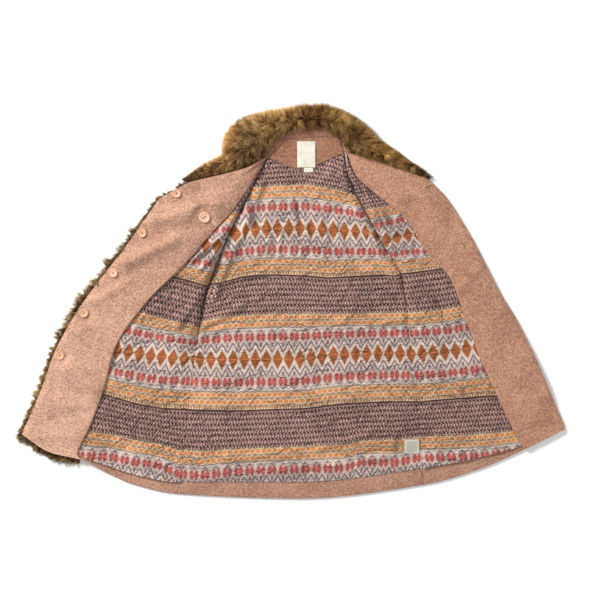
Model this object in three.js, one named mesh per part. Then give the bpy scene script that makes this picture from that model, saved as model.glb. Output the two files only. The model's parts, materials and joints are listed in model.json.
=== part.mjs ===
// A wool coat with a fur collar, laid open on its back with the lining up.
// Millimetres, +X to the viewer's right, +Y towards the collar, +Z up from the floor.
// "Right" and "left" are the wearer's, so the right front lies at -X.

import * as THREE from 'three';

// Thicknesses of the cloths.
const woolWall = 2.4;
const liningWall = 1.0;
const labelWall = 1.0;
const seamGap = 0.3;
const layerGap = 0.3;
const collarGap = 1.2;

// The fur lies flattened under the right front and stands freely on the collar.
const placketPile = 6.8;
const placketClear = 8.5;
const placketWidth = 142;
const placketHemReach = 19;
const placketCells = 5;
const placketStepFall = 0.4;
const placketReaches = [
  // down, reach past the front edge
  [0, 13],
  [2, 14],
  [3, 16],
  [5, 19],
  [6, 20],
  [7, 14],
  [9, 13],
  [11, 13],
];

// A sleeve pressed flat under its front.
const sleeveThick = 6.4;
const sleeveClear = 6.8;
const sleeveMargin = 36;
const sleeveFall = 58;
const sleeveMouthOffset = 2;
const sleeveRings = 8;

// Where the turned-up hem starts under the lining, as a place down the sections.
const hemTopPlace = 9.88;
const hemLapStart = 9.45;

// Buttons.
const backingButtonDiameter = 20;
const jiggerButtonDiameter = 24.5;
const buttonThick = 3.4;

// Labels, as the lowest and highest corner of each.
const neckLabelBox = { x0: 14, x1: 55, y0: 299.5, y1: 359 };
const sizeTabBox = { x0: 29, x1: 50, y0: 289, y1: 299.1 };
const careLabelBox = { x0: 255, x1: 288, y0: -343, y1: -311 };

// Sections across the coat, from the neck seam down to the hem. Each row holds the
// front edge, the facing's inner edge, and the armhole and side seam of one front.
const rightSections = [
  // section, edgeX, edgeY, facingX, facingY, seamX, seamY
  ['neck', -230, 266, -55, 323, -48, 326],
  ['yoke', -295, 230, -58, 316, -51, 321],
  ['shoulder', -323, 190, -92, 259, -83, 263],
  ['highArmhole', -348, 154, -124, 209, -108, 212],
  ['midArmhole', -381, 108, -178, 151, -140, 151],
  ['lowArmhole', -421, 57, -241, 79, -171, 74],
  ['underarm', -466, -4, -322, -2, -198, -2],
  ['waist', -524, -104, -392, -104, -212, -99],
  ['hip', -560, -198, -418, -196, -225, -189],
  ['lowHip', -590, -268, -448, -277, -236, -290],
  ['liningEdge', -601, -292, -477, -346, -248, -407],
  ['hem', -603, -299, -466, -357, -256, -433],
];
const leftSections = [
  ['neck', 310, 274, 124, 335, 117, 336],
  ['yoke', 344, 240, 125, 331, 118, 332],
  ['shoulder', 366, 210, 144, 284, 127, 288],
  ['highArmhole', 382, 184, 189, 241, 147, 241],
  ['midArmhole', 410, 137, 259, 184, 177, 184],
  ['lowArmhole', 436, 86, 297, 119, 209, 124],
  ['underarm', 470, 20, 356, 52, 250, 52],
  ['waist', 508, -43, 394, -47, 263, -47],
  ['hip', 549, -126, 428, -137, 270, -137],
  ['lowHip', 596, -236, 479, -248, 287, -245],
  ['liningEdge', 614, -279, 518, -326, 296, -376],
  ['hem', 616, -288, 524, -334, 298, -413],
];
const centreSections = [
  // section, centreX, centreY
  ['neck', 27, 366],
  ['yoke', 22, 297],
  ['shoulder', 22, 268],
  ['highArmhole', 22, 220],
  ['midArmhole', 22, 164],
  ['lowArmhole', 22, 97],
  ['underarm', 22, 20],
  ['waist', 20, -76],
  ['hip', 20, -169],
  ['lowHip', 20, -277],
  ['liningEdge', 20, -407],
  ['hem', 20, -444],
];

// The back's own corners at the neck. Below the yoke it shares the fronts' seams.
const backNeckCorners = { right: [-11, 362], left: [106, 369] };

// Points between the named lines, where a section curves most. Places across: 0 right
// front edge, 1 right facing, 2 right seam, 3 centre, 4 left seam, 5 left facing, 6 left edge.
const sectionMiddles = [
  // section, across, x, y
  ['neck', 0.5, -99, 299],
  ['neck', 5.5, 182, 317],
  ['yoke', 0.5, -168, 250],
  ['yoke', 5.5, 226, 284],
  ['hem', 0.5, -538, -340],
  ['hem', 1.25, -414, -385],
  ['hem', 1.5, -360, -410],
  ['hem', 4.5, 412, -382],
  ['hem', 5.5, 574, -309],
];

// The collar, a row for each section along the neck seam. "along" is the place on the
// seam: 0 right front edge, 1 and 2 the right neck corners, 3 and 4 the left ones, 5 left
// front edge. "stand" is the width of wool that shows, "outer" the fur's outer edge.
const collarSections = [
  // along, stand, outerX, outerY, pile
  [0.0, 0, -248, 274, 8],
  [0.3, 0, -196, 313, 14],
  [0.55, 0, -155, 338, 16],
  [0.7, 0, -157, 358, 20],
  [0.85, 2, -144, 389, 22],
  [1.0, 6, -105, 419, 22],
  [1.5, 15, -65, 429, 22],
  [2.0, 13, -20, 436, 22],
  [2.33, 21, 22, 442, 22],
  [2.66, 20, 70, 444, 22],
  [2.83, 12, 117, 432, 22],
  [3.0, 4, 150, 414, 21],
  [3.5, 2, 170, 401, 21],
  [4.0, 3, 184, 389, 20],
  [4.15, 0, 209, 362, 18],
  [4.35, 0, 241, 341, 16],
  [4.6, 0, 270, 318, 14],
  [4.85, 0, 297, 297, 10],
  [5.0, 0, 314, 279, 6],
];

// The sleeves' mouths follow the armholes between these places down the sections.
const sleeves = {
  right: { mouthFrom: 2.6, mouthTo: 5.3, cuffOuter: [-511, -115], cuffInner: [-389, -200], bow: 0 },
  left: { mouthFrom: 2.6, mouthTo: 4.7, cuffOuter: [529, -196], cuffInner: [400, -262], bow: 30 },
};

// Broad folds. Each is a soft ridge, or a trough where its height is negative.
const woolFolds = [
  // x0, y0, x1, y1, width, height
  [-396, 70, -262, 138, 34, 5],
  [-318, 168, -150, 214, 36, 4],
  [-545, -120, -430, -205, 30, 4],
  [-520, -230, -450, -300, 36, 5],
  [300, -160, 380, -200, 30, 3],
  [396, -256, 450, -276, 24, 4],
  [330, 150, 440, 40, 40, 3],
];
const liningFolds = [
  [-18, 283, 34, 268, 20, 4],
  [34, 268, 88, 292, 20, 4],
  [-70, 262, -118, 150, 16, 9],
  [-122, 146, -178, 20, 18, 10],
  [-176, 16, -230, -60, 22, 8],
  [118, 290, 160, 190, 16, 8],
  [170, 178, 232, 74, 18, 9],
  [240, 66, 318, 6, 22, 6],
  [-98, 226, -92, 148, 16, 3],
  [60, 190, 66, 130, 18, 3],
  [-40, 40, 60, 30, 30, 2],
  [100, -180, 210, -140, 34, 3],
  [-190, -230, -60, -260, 36, 3],
];
const frontLiningFolds = [
  [-198, 148, -150, 92, 14, 6],
  [-186, 82, -160, 60, 12, 5],
  [186, 232, 214, 176, 14, 5],
  [230, 170, 262, 96, 16, 5],
  [320, -150, 376, -198, 22, 4],
];

// Colours of the cloths, the fur, the buttons and the labels.
const colours = {
  wool: 0xd9a88c,
  woolUnder: 0xd2a088,
  lining: 0xa8766e,
  furCollar: 0x7d6038,
  furPlacket: 0x75603f,
  button: 0xe0b596,
  label: 0xe6e3d0,
};

// Places down and across the sections where the cloth has its points.
const downPlaces = [
  0, 0.5, 1, 1.5, 2, 2.5, 3, 3.5, 4, 4.5, 5, 5.5, 6, 6.33, 6.67, 7, 7.5, 8, 8.5, 9,
  hemLapStart, hemTopPlace, 10, 11,
];
const liningEndPlace = 10;
const hemPlace = 11;
const facingCells = 6;
const frontLiningCells = 7;
const backCells = 8;
const backLiningCells = 22;

function range(from, to, cells) {
  const step = cells > 0 ? (to - from) / cells : 0;
  return Array.from({ length: cells + 1 }, (_, i) => from + step * i);
}

// A smooth curve through values at rising knots that never swings past them.
function smoothThrough(knots, values, at) {
  const last = knots.length - 1;
  let k = 0;
  while (k < last - 1 && at > knots[k + 1]) {
    k += 1;
  }
  const slope = (i) => (values[i + 1] - values[i]) / (knots[i + 1] - knots[i]);
  const tangent = (i) => {
    if (i === 0 || i === last) {
      return slope(i === 0 ? 0 : last - 1);
    }
    const before = slope(i - 1);
    const after = slope(i);
    return before * after <= 0 ? 0 : (2 * before * after) / (before + after);
  };
  const width = knots[k + 1] - knots[k];
  const t = (at - knots[k]) / width;
  const t2 = t * t;
  const t3 = t2 * t;
  return (
    values[k] * (2 * t3 - 3 * t2 + 1) +
    tangent(k) * width * (t3 - 2 * t2 + t) +
    values[k + 1] * (3 * t2 - 2 * t3) +
    tangent(k + 1) * width * (t3 - t2)
  );
}

function smoothStep(low, high, value) {
  return THREE.MathUtils.smoothstep(value, low, high);
}

// A section as a curve across the coat, through points that start with their place.
function sectionCurve(points) {
  const sorted = [...points].sort((a, b) => a[0] - b[0]);
  return {
    places: sorted.map((p) => p[0]),
    xs: sorted.map((p) => p[1]),
    ys: sorted.map((p) => p[2]),
  };
}

const sectionCurves = rightSections.map((right, row) => {
  const left = leftSections[row];
  const centre = centreSections[row];
  const between = sectionMiddles.filter(([name]) => name === right[0]);
  return sectionCurve([
    [0, right[1], right[2]],
    [1, right[3], right[4]],
    [2, right[5], right[6]],
    [3, centre[1], centre[2]],
    [4, left[5], left[6]],
    [5, left[3], left[4]],
    [6, left[1], left[2]],
    ...between.map(([, across, x, y]) => [across, x, y]),
  ]);
});
const backNeckCurve = sectionCurve([
  [2, ...backNeckCorners.right],
  [3, centreSections[0][1], centreSections[0][2]],
  [4, ...backNeckCorners.left],
]);

// Distances down the side seam serve as knots, so close sections stay smooth.
const sectionKnots = rightSections.reduce((knots, row, i) => {
  if (i === 0) {
    return [0];
  }
  const before = rightSections[i - 1];
  return [...knots, knots[i - 1] + Math.hypot(row[5] - before[5], row[6] - before[6])];
}, []);

function knotAt(down) {
  const i = Math.min(Math.floor(down), sectionKnots.length - 2);
  return sectionKnots[i] + (sectionKnots[i + 1] - sectionKnots[i]) * (down - i);
}

// The point of the laid-out coat at a place across and a place down. From the neck to
// the yoke it runs straight, from there on through all the sections.
function pointOn(curves, across, down) {
  const xs = curves.map((c) => smoothThrough(c.places, c.xs, across));
  const ys = curves.map((c) => smoothThrough(c.places, c.ys, across));
  if (down < 1) {
    return [xs[0] + (xs[1] - xs[0]) * down, ys[0] + (ys[1] - ys[0]) * down];
  }
  const knots = sectionKnots.slice(1);
  const knot = knotAt(down);
  return [smoothThrough(knots, xs.slice(1), knot), smoothThrough(knots, ys.slice(1), knot)];
}

function frontPoint(across, down) {
  return pointOn(sectionCurves, across, down);
}

function backPoint(across, down) {
  return pointOn([backNeckCurve, ...sectionCurves.slice(1)], across, down);
}

function distanceToLine(x, y, x0, y0, x1, y1) {
  const dx = x1 - x0;
  const dy = y1 - y0;
  const t = THREE.MathUtils.clamp(((x - x0) * dx + (y - y0) * dy) / (dx * dx + dy * dy), 0, 1);
  return Math.hypot(x - x0 - t * dx, y - y0 - t * dy);
}

// The highest ridge and the deepest trough at a point, so folds that meet don't pile up.
function foldHeight(folds, x, y) {
  const heights = folds.map(([x0, y0, x1, y1, width, height]) => {
    const d = distanceToLine(x, y, x0, y0, x1, y1) / width;
    return height * Math.exp(-d * d * 2);
  });
  return Math.max(0, ...heights) + Math.min(0, ...heights);
}

// The sleeve's plan, as its mouth along the armhole and its cuff.
function sleeveMouth(side, t) {
  const s = sleeves[side];
  const seam = side === 'right' ? 2 : 4;
  const outward = side === 'right' ? -1 : 1;
  const [x, y] = frontPoint(seam, s.mouthFrom + (s.mouthTo - s.mouthFrom) * t);
  return [x + outward * sleeveMouthOffset, y];
}

function sleeveCuff(side, t) {
  const { cuffOuter, cuffInner } = sleeves[side];
  return [
    cuffOuter[0] + (cuffInner[0] - cuffOuter[0]) * t,
    cuffOuter[1] + (cuffInner[1] - cuffOuter[1]) * t,
  ];
}

function sleevePoint(side, along, t) {
  const a = sleeveMouth(side, t);
  const b = sleeveCuff(side, t);
  const bow = sleeves[side].bow * t * Math.sin(Math.PI * along);
  return [a[0] + (b[0] - a[0]) * along + bow, a[1] + (b[1] - a[1]) * along];
}

const sleevePlans = Object.fromEntries(
  ['right', 'left'].map((side) => {
    const mouth = range(0, 1, 6).map((t) => sleeveMouth(side, t));
    const underarm = range(0, 1, sleeveRings).slice(1).map((along) => sleevePoint(side, along, 1));
    return [side, [...mouth, ...underarm, sleeveCuff(side, 0)]];
  }),
);

function distanceToPlan(plan, x, y) {
  let inside = false;
  let nearest = Infinity;
  plan.forEach(([x0, y0], i) => {
    const [x1, y1] = plan[(i + 1) % plan.length];
    nearest = Math.min(nearest, distanceToLine(x, y, x0, y0, x1, y1));
    if (y0 > y !== y1 > y && x < ((x1 - x0) * (y - y0)) / (y1 - y0) + x0) {
      inside = !inside;
    }
  });
  return inside ? 0 : nearest;
}

// How high each layer's underside lies above the floor.
function underFront(side, across, down) {
  const [x, y] = frontPoint(across, down);
  const away = distanceToPlan(sleevePlans[side], x, y);
  const overSleeve = sleeveClear * (1 - smoothStep(sleeveMargin, sleeveMargin + sleeveFall, away));
  const fromSeam = side === 'right' ? 2 - across : across - 4;
  const nearSeam = smoothStep(0, 0.12, fromSeam);
  const belowArmhole = smoothStep(6.2, 7.2, down);
  const seamEase = 1 - belowArmhole * (1 - nearSeam);
  const fade = smoothStep(0, 0.3, fromSeam) * smoothStep(0, 0.8, down);
  return overSleeve * seamEase + foldHeight(woolFolds, x, y) * fade;
}

// The place across where the placket's inner edge lies under the facing.
function placketInner(down) {
  const edge = frontPoint(0, down);
  const facing = frontPoint(1, down);
  return Math.min(1, placketWidth / Math.hypot(edge[0] - facing[0], edge[1] - facing[1]));
}

function placketStep(side, across, down) {
  if (side === 'left') {
    return 0;
  }
  const inner = placketInner(down) + 0.06;
  return placketClear * (1 - smoothStep(inner, inner + placketStepFall, across));
}

function outerUnderside(side, across, down) {
  return underFront(side, across, down) + placketStep(side, across, down);
}

function hemLap(down) {
  return (woolWall + layerGap) * smoothStep(hemLapStart, hemTopPlace, down);
}

function frontLiningUnderside(side, across, down) {
  const [x, y] = frontPoint(across, down);
  const fromFacing = side === 'right' ? across - 1 : 5 - across;
  const fromSeam = 1 - fromFacing;
  const ease = smoothStep(0, 0.25, fromSeam) * smoothStep(0, 0.2, fromFacing);
  const puff = foldHeight(frontLiningFolds, x, y) * ease;
  const seated = outerUnderside(side, across, down) + woolWall + layerGap;
  return seated + hemLap(down) + 0.5 * (1 - smoothStep(0, 0.2, fromFacing)) + puff;
}

function backLiningUnderside(across, down) {
  const [x, y] = backPoint(across, down);
  const fromSeam = Math.min(across - 2, 4 - across);
  const ease = smoothStep(0, 0.12, fromSeam) * smoothStep(1, 1.3, down) * (1 - smoothStep(9, 9.6, down));
  return woolWall + layerGap + hemLap(down) + foldHeight(liningFolds, x, y) * ease;
}

// A closed body from a grid of points, each with a lower and an upper height.
function gridBody(grid) {
  const rows = grid.length;
  const columns = grid[0].length;
  const positions = [];
  grid.forEach((row) => row.forEach(([x, y, , high]) => positions.push(x, y, high)));
  grid.forEach((row) => row.forEach(([x, y, low]) => positions.push(x, y, low)));
  const under = rows * columns;
  const at = (r, c) => r * columns + c;
  const faces = [];
  const quad = (a, b, c, d) => faces.push(a, b, c, a, c, d);
  for (let r = 0; r < rows - 1; r += 1) {
    for (let c = 0; c < columns - 1; c += 1) {
      const [a, b, d, e] = [at(r, c), at(r + 1, c), at(r + 1, c + 1), at(r, c + 1)];
      quad(a, b, d, e);
      faces.push(a + under, d + under, b + under, a + under, e + under, d + under);
    }
  }
  const lastRow = rows - 1;
  const lastColumn = columns - 1;
  const rim = [
    ...range(0, lastColumn - 1, lastColumn - 1).map((c) => at(0, c)),
    ...range(0, lastRow - 1, lastRow - 1).map((r) => at(r, lastColumn)),
    ...range(lastColumn, 1, lastColumn - 1).map((c) => at(lastRow, c)),
    ...range(lastRow, 1, lastRow - 1).map((r) => at(r, 0)),
  ];
  rim.forEach((a, i) => {
    const b = rim[(i + 1) % rim.length];
    quad(a, b, b + under, a + under);
  });
  return facingOut(positions, faces);
}

// The geometry, turned inside out if its volume comes out negative.
function facingOut(positions, faces) {
  let volume = 0;
  const corner = (i) => new THREE.Vector3().fromArray(positions, i * 3);
  for (let i = 0; i < faces.length; i += 3) {
    const [a, b, c] = [corner(faces[i]), corner(faces[i + 1]), corner(faces[i + 2])];
    volume += a.dot(b.cross(c));
  }
  const geometry = new THREE.BufferGeometry();
  geometry.setAttribute('position', new THREE.Float32BufferAttribute(positions, 3));
  geometry.setIndex(volume < 0 ? [...faces].reverse() : faces);
  geometry.computeVertexNormals();
  return geometry;
}

// Draws the outer points of a grid in from the seams by half the gap between pieces.
function drawnIn(grid) {
  const rows = grid.length;
  const columns = grid[0].length;
  const moved = grid.map((row) => row.map((p) => [...p]));
  const shift = (r, c, towardR, towardC) => {
    const p = grid[r][c];
    const q = grid[towardR][towardC];
    const length = Math.hypot(q[0] - p[0], q[1] - p[1]);
    moved[r][c][0] += ((q[0] - p[0]) / length) * (seamGap / 2);
    moved[r][c][1] += ((q[1] - p[1]) / length) * (seamGap / 2);
  };
  for (let r = 0; r < rows; r += 1) {
    shift(r, 0, r, 1);
    shift(r, columns - 1, r, columns - 2);
  }
  for (let c = 0; c < columns; c += 1) {
    shift(0, c, 1, c);
    shift(rows - 1, c, rows - 2, c);
  }
  return moved;
}

const coat = new THREE.Group();

function addPiece(name, geometry, colour, roughness, metalness = 0) {
  const material = new THREE.MeshStandardMaterial({ color: colour, roughness, metalness });
  const mesh = new THREE.Mesh(geometry, material);
  mesh.name = name;
  coat.add(mesh);
  return mesh;
}

// A piece of cloth over part of the laid-out coat, with one wall thickness.
function addCloth(name, pointAt, acrossPlaces, places, undersideAt, wall, colour, roughness) {
  const grid = places.map((down) =>
    acrossPlaces.map((across) => {
      const [x, y] = pointAt(across, down);
      const low = undersideAt(across, down);
      return [x, y, low, low + wall];
    }),
  );
  return addPiece(name, gridBody(drawnIn(grid)), colour, roughness);
}

function placesBetween(from, to) {
  return downPlaces.filter((p) => p >= from && p <= to);
}

// The back, its turned-up hem, the neck facing and the back lining.
const allPlaces = placesBetween(0, hemPlace);
const hemPlaces = placesBetween(hemTopPlace, hemPlace);
addCloth(
  'back', backPoint, range(2, 4, backCells), allPlaces, () => 0,
  woolWall, colours.wool, 0.95,
);
const overBack = woolWall + layerGap;
addCloth(
  'back_hem_turn_up', backPoint, range(2, 4, backCells), hemPlaces, () => overBack,
  woolWall, colours.woolUnder, 0.95,
);
const neckPlaces = placesBetween(0, 1);
addCloth(
  'back_neck_facing', backPoint, range(2, 4, backCells), neckPlaces, () => overBack,
  woolWall, colours.woolUnder, 0.95,
);
const backLining = addCloth(
  'back_lining', backPoint, range(2, 4, backLiningCells),
  placesBetween(1, liningEndPlace), backLiningUnderside, liningWall, colours.lining, 0.7,
);

// A sleeve pressed flat: rings of an outer and an inner loop, open at mouth and cuff.
function sleeveGeometry(side) {
  const flatPlaces = [0.02, 0.26, 0.5, 0.74, 0.98];
  const loop = [
    ...flatPlaces.map((t) => [t, 0]),
    [1, 0.5],
    ...[...flatPlaces].reverse().map((t) => [t, 1]),
    [0, 0.5],
  ];
  const inset = woolWall / sleeveThick;
  const sideInset = 0.035;
  const positions = [];
  range(0, 1, sleeveRings).forEach((along) => {
    [0, 1].forEach((inner) => {
      loop.forEach(([t, high]) => {
        const place = inner ? sideInset + t * (1 - 2 * sideInset) : t;
        const lift = inner ? inset + high * (1 - 2 * inset) : high;
        const [x, y] = sleevePoint(side, along, place);
        positions.push(x, y, lift * sleeveThick);
      });
    });
  });
  const count = loop.length;
  const at = (ring, inner, i) => (ring * 2 + inner) * count + (i % count);
  const faces = [];
  const quad = (a, b, c, d) => faces.push(a, b, c, a, c, d);
  for (let ring = 0; ring < sleeveRings; ring += 1) {
    for (let i = 0; i < count; i += 1) {
      quad(at(ring, 0, i), at(ring, 0, i + 1), at(ring + 1, 0, i + 1), at(ring + 1, 0, i));
      quad(at(ring, 1, i + 1), at(ring, 1, i), at(ring + 1, 1, i), at(ring + 1, 1, i + 1));
    }
  }
  for (let i = 0; i < count; i += 1) {
    quad(at(0, 0, i + 1), at(0, 0, i), at(0, 1, i), at(0, 1, i + 1));
    quad(
      at(sleeveRings, 0, i), at(sleeveRings, 0, i + 1),
      at(sleeveRings, 1, i + 1), at(sleeveRings, 1, i),
    );
  }
  return facingOut(positions, faces);
}

// Each front has its wool, facing, turned-up hem, lining and sleeve.
const facings = {};
['right', 'left'].forEach((side) => {
  const edge = side === 'right' ? 0 : 6;
  const facing = side === 'right' ? 1 : 5;
  const seam = side === 'right' ? 2 : 4;
  const facingPlaces = range(Math.min(edge, facing), Math.max(edge, facing), facingCells);
  const liningPlaces = range(Math.min(facing, seam), Math.max(facing, seam), frontLiningCells);
  const woolPlaces = [...new Set([...facingPlaces, ...liningPlaces])].sort((a, b) => a - b);
  const outer = (across, down) => outerUnderside(side, across, down);
  const second = (across, down) => outer(across, down) + woolWall + layerGap;
  addCloth(
    `${side}_front`, frontPoint, woolPlaces, allPlaces, outer,
    woolWall, colours.wool, 0.95,
  );
  facings[side] = addCloth(
    `${side}_front_facing`, frontPoint, facingPlaces, allPlaces, second,
    woolWall, colours.woolUnder, 0.95,
  );
  addCloth(
    `${side}_front_hem_turn_up`, frontPoint, liningPlaces, hemPlaces, second,
    woolWall, colours.woolUnder, 0.95,
  );
  addCloth(
    `${side}_front_lining`, frontPoint, liningPlaces, placesBetween(0, liningEndPlace),
    (across, down) => frontLiningUnderside(side, across, down),
    liningWall, colours.lining, 0.7,
  );
  addPiece(`${side}_sleeve`, sleeveGeometry(side), colours.wool, 0.95);
});

// The fur placket on the outside of the right front. It reaches past the edge and hem.
function placketGrid() {
  const reachKnots = placketReaches.map((row) => row[0]);
  const reachValues = placketReaches.map((row) => row[1]);
  const rows = placesBetween(0, hemPlace).map((down) => {
    const edge = frontPoint(0, down);
    const next = frontPoint(0.1, down);
    const length = Math.hypot(edge[0] - next[0], edge[1] - next[1]);
    const out = [(edge[0] - next[0]) / length, (edge[1] - next[1]) / length];
    const low = underFront('right', 0, down);
    const reach = smoothThrough(reachKnots, reachValues, down);
    const fringe = [1, 0.35].map((share) => [
      edge[0] + out[0] * reach * share,
      edge[1] + out[1] * reach * share,
      low,
      low + placketPile * (share === 1 ? 0.55 : 1),
    ]);
    const covered = range(0, placketInner(down), placketCells).map((across, i) => {
      const [x, y] = frontPoint(across, down);
      const base = underFront('right', across, down);
      return [x, y, base, base + placketPile * (i === placketCells ? 0.6 : 1)];
    });
    return [...fringe, ...covered];
  });
  const hem = rows[rows.length - 1];
  const dropped = hem.map(([x, y, low]) => [x - 2, y - placketHemReach, low, low + placketPile * 0.55]);
  return [...rows, dropped];
}
addPiece('fur_placket', gridBody(placketGrid()), colours.furPlacket, 1);

// The collar: undercollar on the floor, the stand that shows, and the fur.
const collarPlaces = range(0, collarSections.length - 1, (collarSections.length - 1) * 2);
const collarKnots = collarSections.map((_, i) => i);

// The neck seam in five stretches between its corners, each as evenly spaced points.
const neckStretches = [
  range(0, 2, 24).map((across) => frontPoint(across, 0)),
  [frontPoint(2, 0), backPoint(2, 0)],
  range(2, 4, 16).map((across) => backPoint(across, 0)),
  [backPoint(4, 0), frontPoint(4, 0)],
  range(4, 6, 24).map((across) => frontPoint(across, 0)),
];

function neckPoint(along) {
  const held = THREE.MathUtils.clamp(along, 0, neckStretches.length);
  const i = Math.min(Math.floor(held), neckStretches.length - 1);
  const line = neckStretches[i];
  const steps = line.slice(1).map((p, k) => Math.hypot(p[0] - line[k][0], p[1] - line[k][1]));
  let left = (held - i) * steps.reduce((sum, step) => sum + step, 0);
  let k = 0;
  while (k < steps.length - 1 && left > steps[k]) {
    left -= steps[k];
    k += 1;
  }
  const t = left / steps[k];
  return [0, 1].map((axis) => line[k][axis] + (line[k + 1][axis] - line[k][axis]) * t);
}

function collarSection(place) {
  const column = (i) => smoothThrough(collarKnots, collarSections.map((row) => row[i]), place);
  const along = column(0);
  const before = neckPoint(along - 0.08);
  const after = neckPoint(along + 0.08);
  const length = Math.hypot(after[0] - before[0], after[1] - before[1]);
  const up = [-(after[1] - before[1]) / length, (after[0] - before[0]) / length];
  return { seam: neckPoint(along), up, stand: column(1), outer: [column(2), column(3)], pile: column(4) };
}

function collarRow(section, start, profile) {
  const { seam, up, outer } = section;
  const inner = [seam[0] + up[0] * start, seam[1] + up[1] * start];
  return profile.map(([share, low, high]) => [
    inner[0] + (outer[0] - inner[0]) * share,
    inner[1] + (outer[1] - inner[1]) * share,
    low,
    high,
  ]);
}

const undercollarShares = [0, 0.5, 0.92].map((share) => [share, 0, woolWall]);
const undercollar = collarPlaces.map((place) =>
  collarRow(collarSection(place), collarGap, undercollarShares),
);
addPiece('undercollar', gridBody(undercollar), colours.woolUnder, 0.95);

const standSections = collarPlaces.map(collarSection).filter((s) => s.stand > 3.5);
const stand = standSections.map(({ seam, up, stand: width }) =>
  [collarGap, width - 2 * layerGap].map((d) => [
    seam[0] + up[0] * d,
    seam[1] + up[1] * d,
    woolWall + layerGap,
    woolWall + layerGap + woolWall,
  ]),
);
addPiece('collar_stand', gridBody(stand), colours.woolUnder, 0.95);

const furShape = [
  // share of the width, share of the pile
  [0, 0.5],
  [0.1, 0.8],
  [0.3, 1],
  [0.55, 1],
  [0.78, 0.86],
  [0.93, 0.62],
  [1, 0.34],
];
const furLow = woolWall + layerGap;
const fur = collarPlaces.map((place) => {
  const section = collarSection(place);
  const profile = furShape.map(([share, high]) => [share, furLow, furLow + section.pile * high]);
  return collarRow(section, Math.max(section.stand, collarGap), profile);
});
addPiece('fur_collar', gridBody(fur), colours.furCollar, 1);

// Heights read from a finished piece, to seat what lies on it.
const downRay = new THREE.Raycaster();
function topOf(mesh, x, y) {
  mesh.material.side = THREE.DoubleSide;
  downRay.set(new THREE.Vector3(x, y, 200), new THREE.Vector3(0, 0, -1));
  const hit = downRay.intersectObject(mesh)[0];
  mesh.material.side = THREE.FrontSide;
  return hit ? hit.point.z : null;
}

// A dished button with a rounded rim, leaning with the cloth under it.
function addButton(name, carrier, x, y, diameter) {
  const radius = diameter / 2;
  const profile = [
    [0, 0],
    [radius * 0.8, 0],
    [radius, buttonThick * 0.35],
    [radius, buttonThick * 0.7],
    [radius * 0.9, buttonThick],
    [radius * 0.72, buttonThick * 0.92],
    [radius * 0.6, buttonThick * 0.66],
    [0, buttonThick * 0.6],
  ].map(([r, z]) => new THREE.Vector2(r, z));
  const geometry = new THREE.LatheGeometry(profile, 18);
  geometry.rotateX(Math.PI / 2);
  const reach = radius / 2;
  const slopeX = (topOf(carrier, x + reach, y) - topOf(carrier, x - reach, y)) / radius;
  const slopeY = (topOf(carrier, x, y + reach) - topOf(carrier, x, y - reach)) / radius;
  const normal = new THREE.Vector3(-slopeX, -slopeY, 1).normalize();
  let lift = 0;
  range(0, 2 * Math.PI, 24).forEach((angle) => {
    range(0, 1, 5).forEach((share) => {
      const dx = Math.cos(angle) * radius * share;
      const dy = Math.sin(angle) * radius * share;
      const top = topOf(carrier, x + dx, y + dy);
      lift = top === null ? lift : Math.max(lift, top - slopeX * dx - slopeY * dy);
    });
  });
  const mesh = addPiece(name, geometry, colours.button, 0.45);
  mesh.position.set(x, y, lift + layerGap);
  mesh.quaternion.setFromUnitVectors(new THREE.Vector3(0, 0, 1), normal);
}

const backingButtons = [
  // x, y
  [-256, 241],
  [-333, 152],
  [-397, 62],
  [-463, -27],
  [-517, -122],
];
backingButtons.forEach(([x, y], i) => {
  addButton(`backing_button_${i + 1}`, facings.right, x, y, backingButtonDiameter);
});
addButton('jigger_button', facings.right, -193, 187, jiggerButtonDiameter);

// Bare labels. Each is a small flat cloth on the highest point under it.
function addLabel(name, box, carriers) {
  const xs = range(box.x0, box.x1, 4);
  const ys = range(box.y0, box.y1, 4);
  const tops = xs.flatMap((x) => ys.flatMap((y) => carriers.map((c) => topOf(c, x, y) ?? 0)));
  const highest = Math.max(...tops);
  const low = highest + layerGap;
  const grid = [ys[0], ys[4]].map((y) => [xs[0], xs[4]].map((x) => [x, y, low, low + labelWall]));
  return addPiece(name, gridBody(grid), colours.label, 0.6);
}
const neckFacing = coat.getObjectByName('back_neck_facing');
addLabel('neck_label', neckLabelBox, [neckFacing]);
addLabel('size_tab', sizeTabBox, [neckFacing, backLining]);
addLabel('care_label', careLabelBox, [backLining]);

export default coat;
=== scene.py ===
import json
import math

import bmesh
import bpy
import numpy as np
from mathutils import Matrix, Vector

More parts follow.
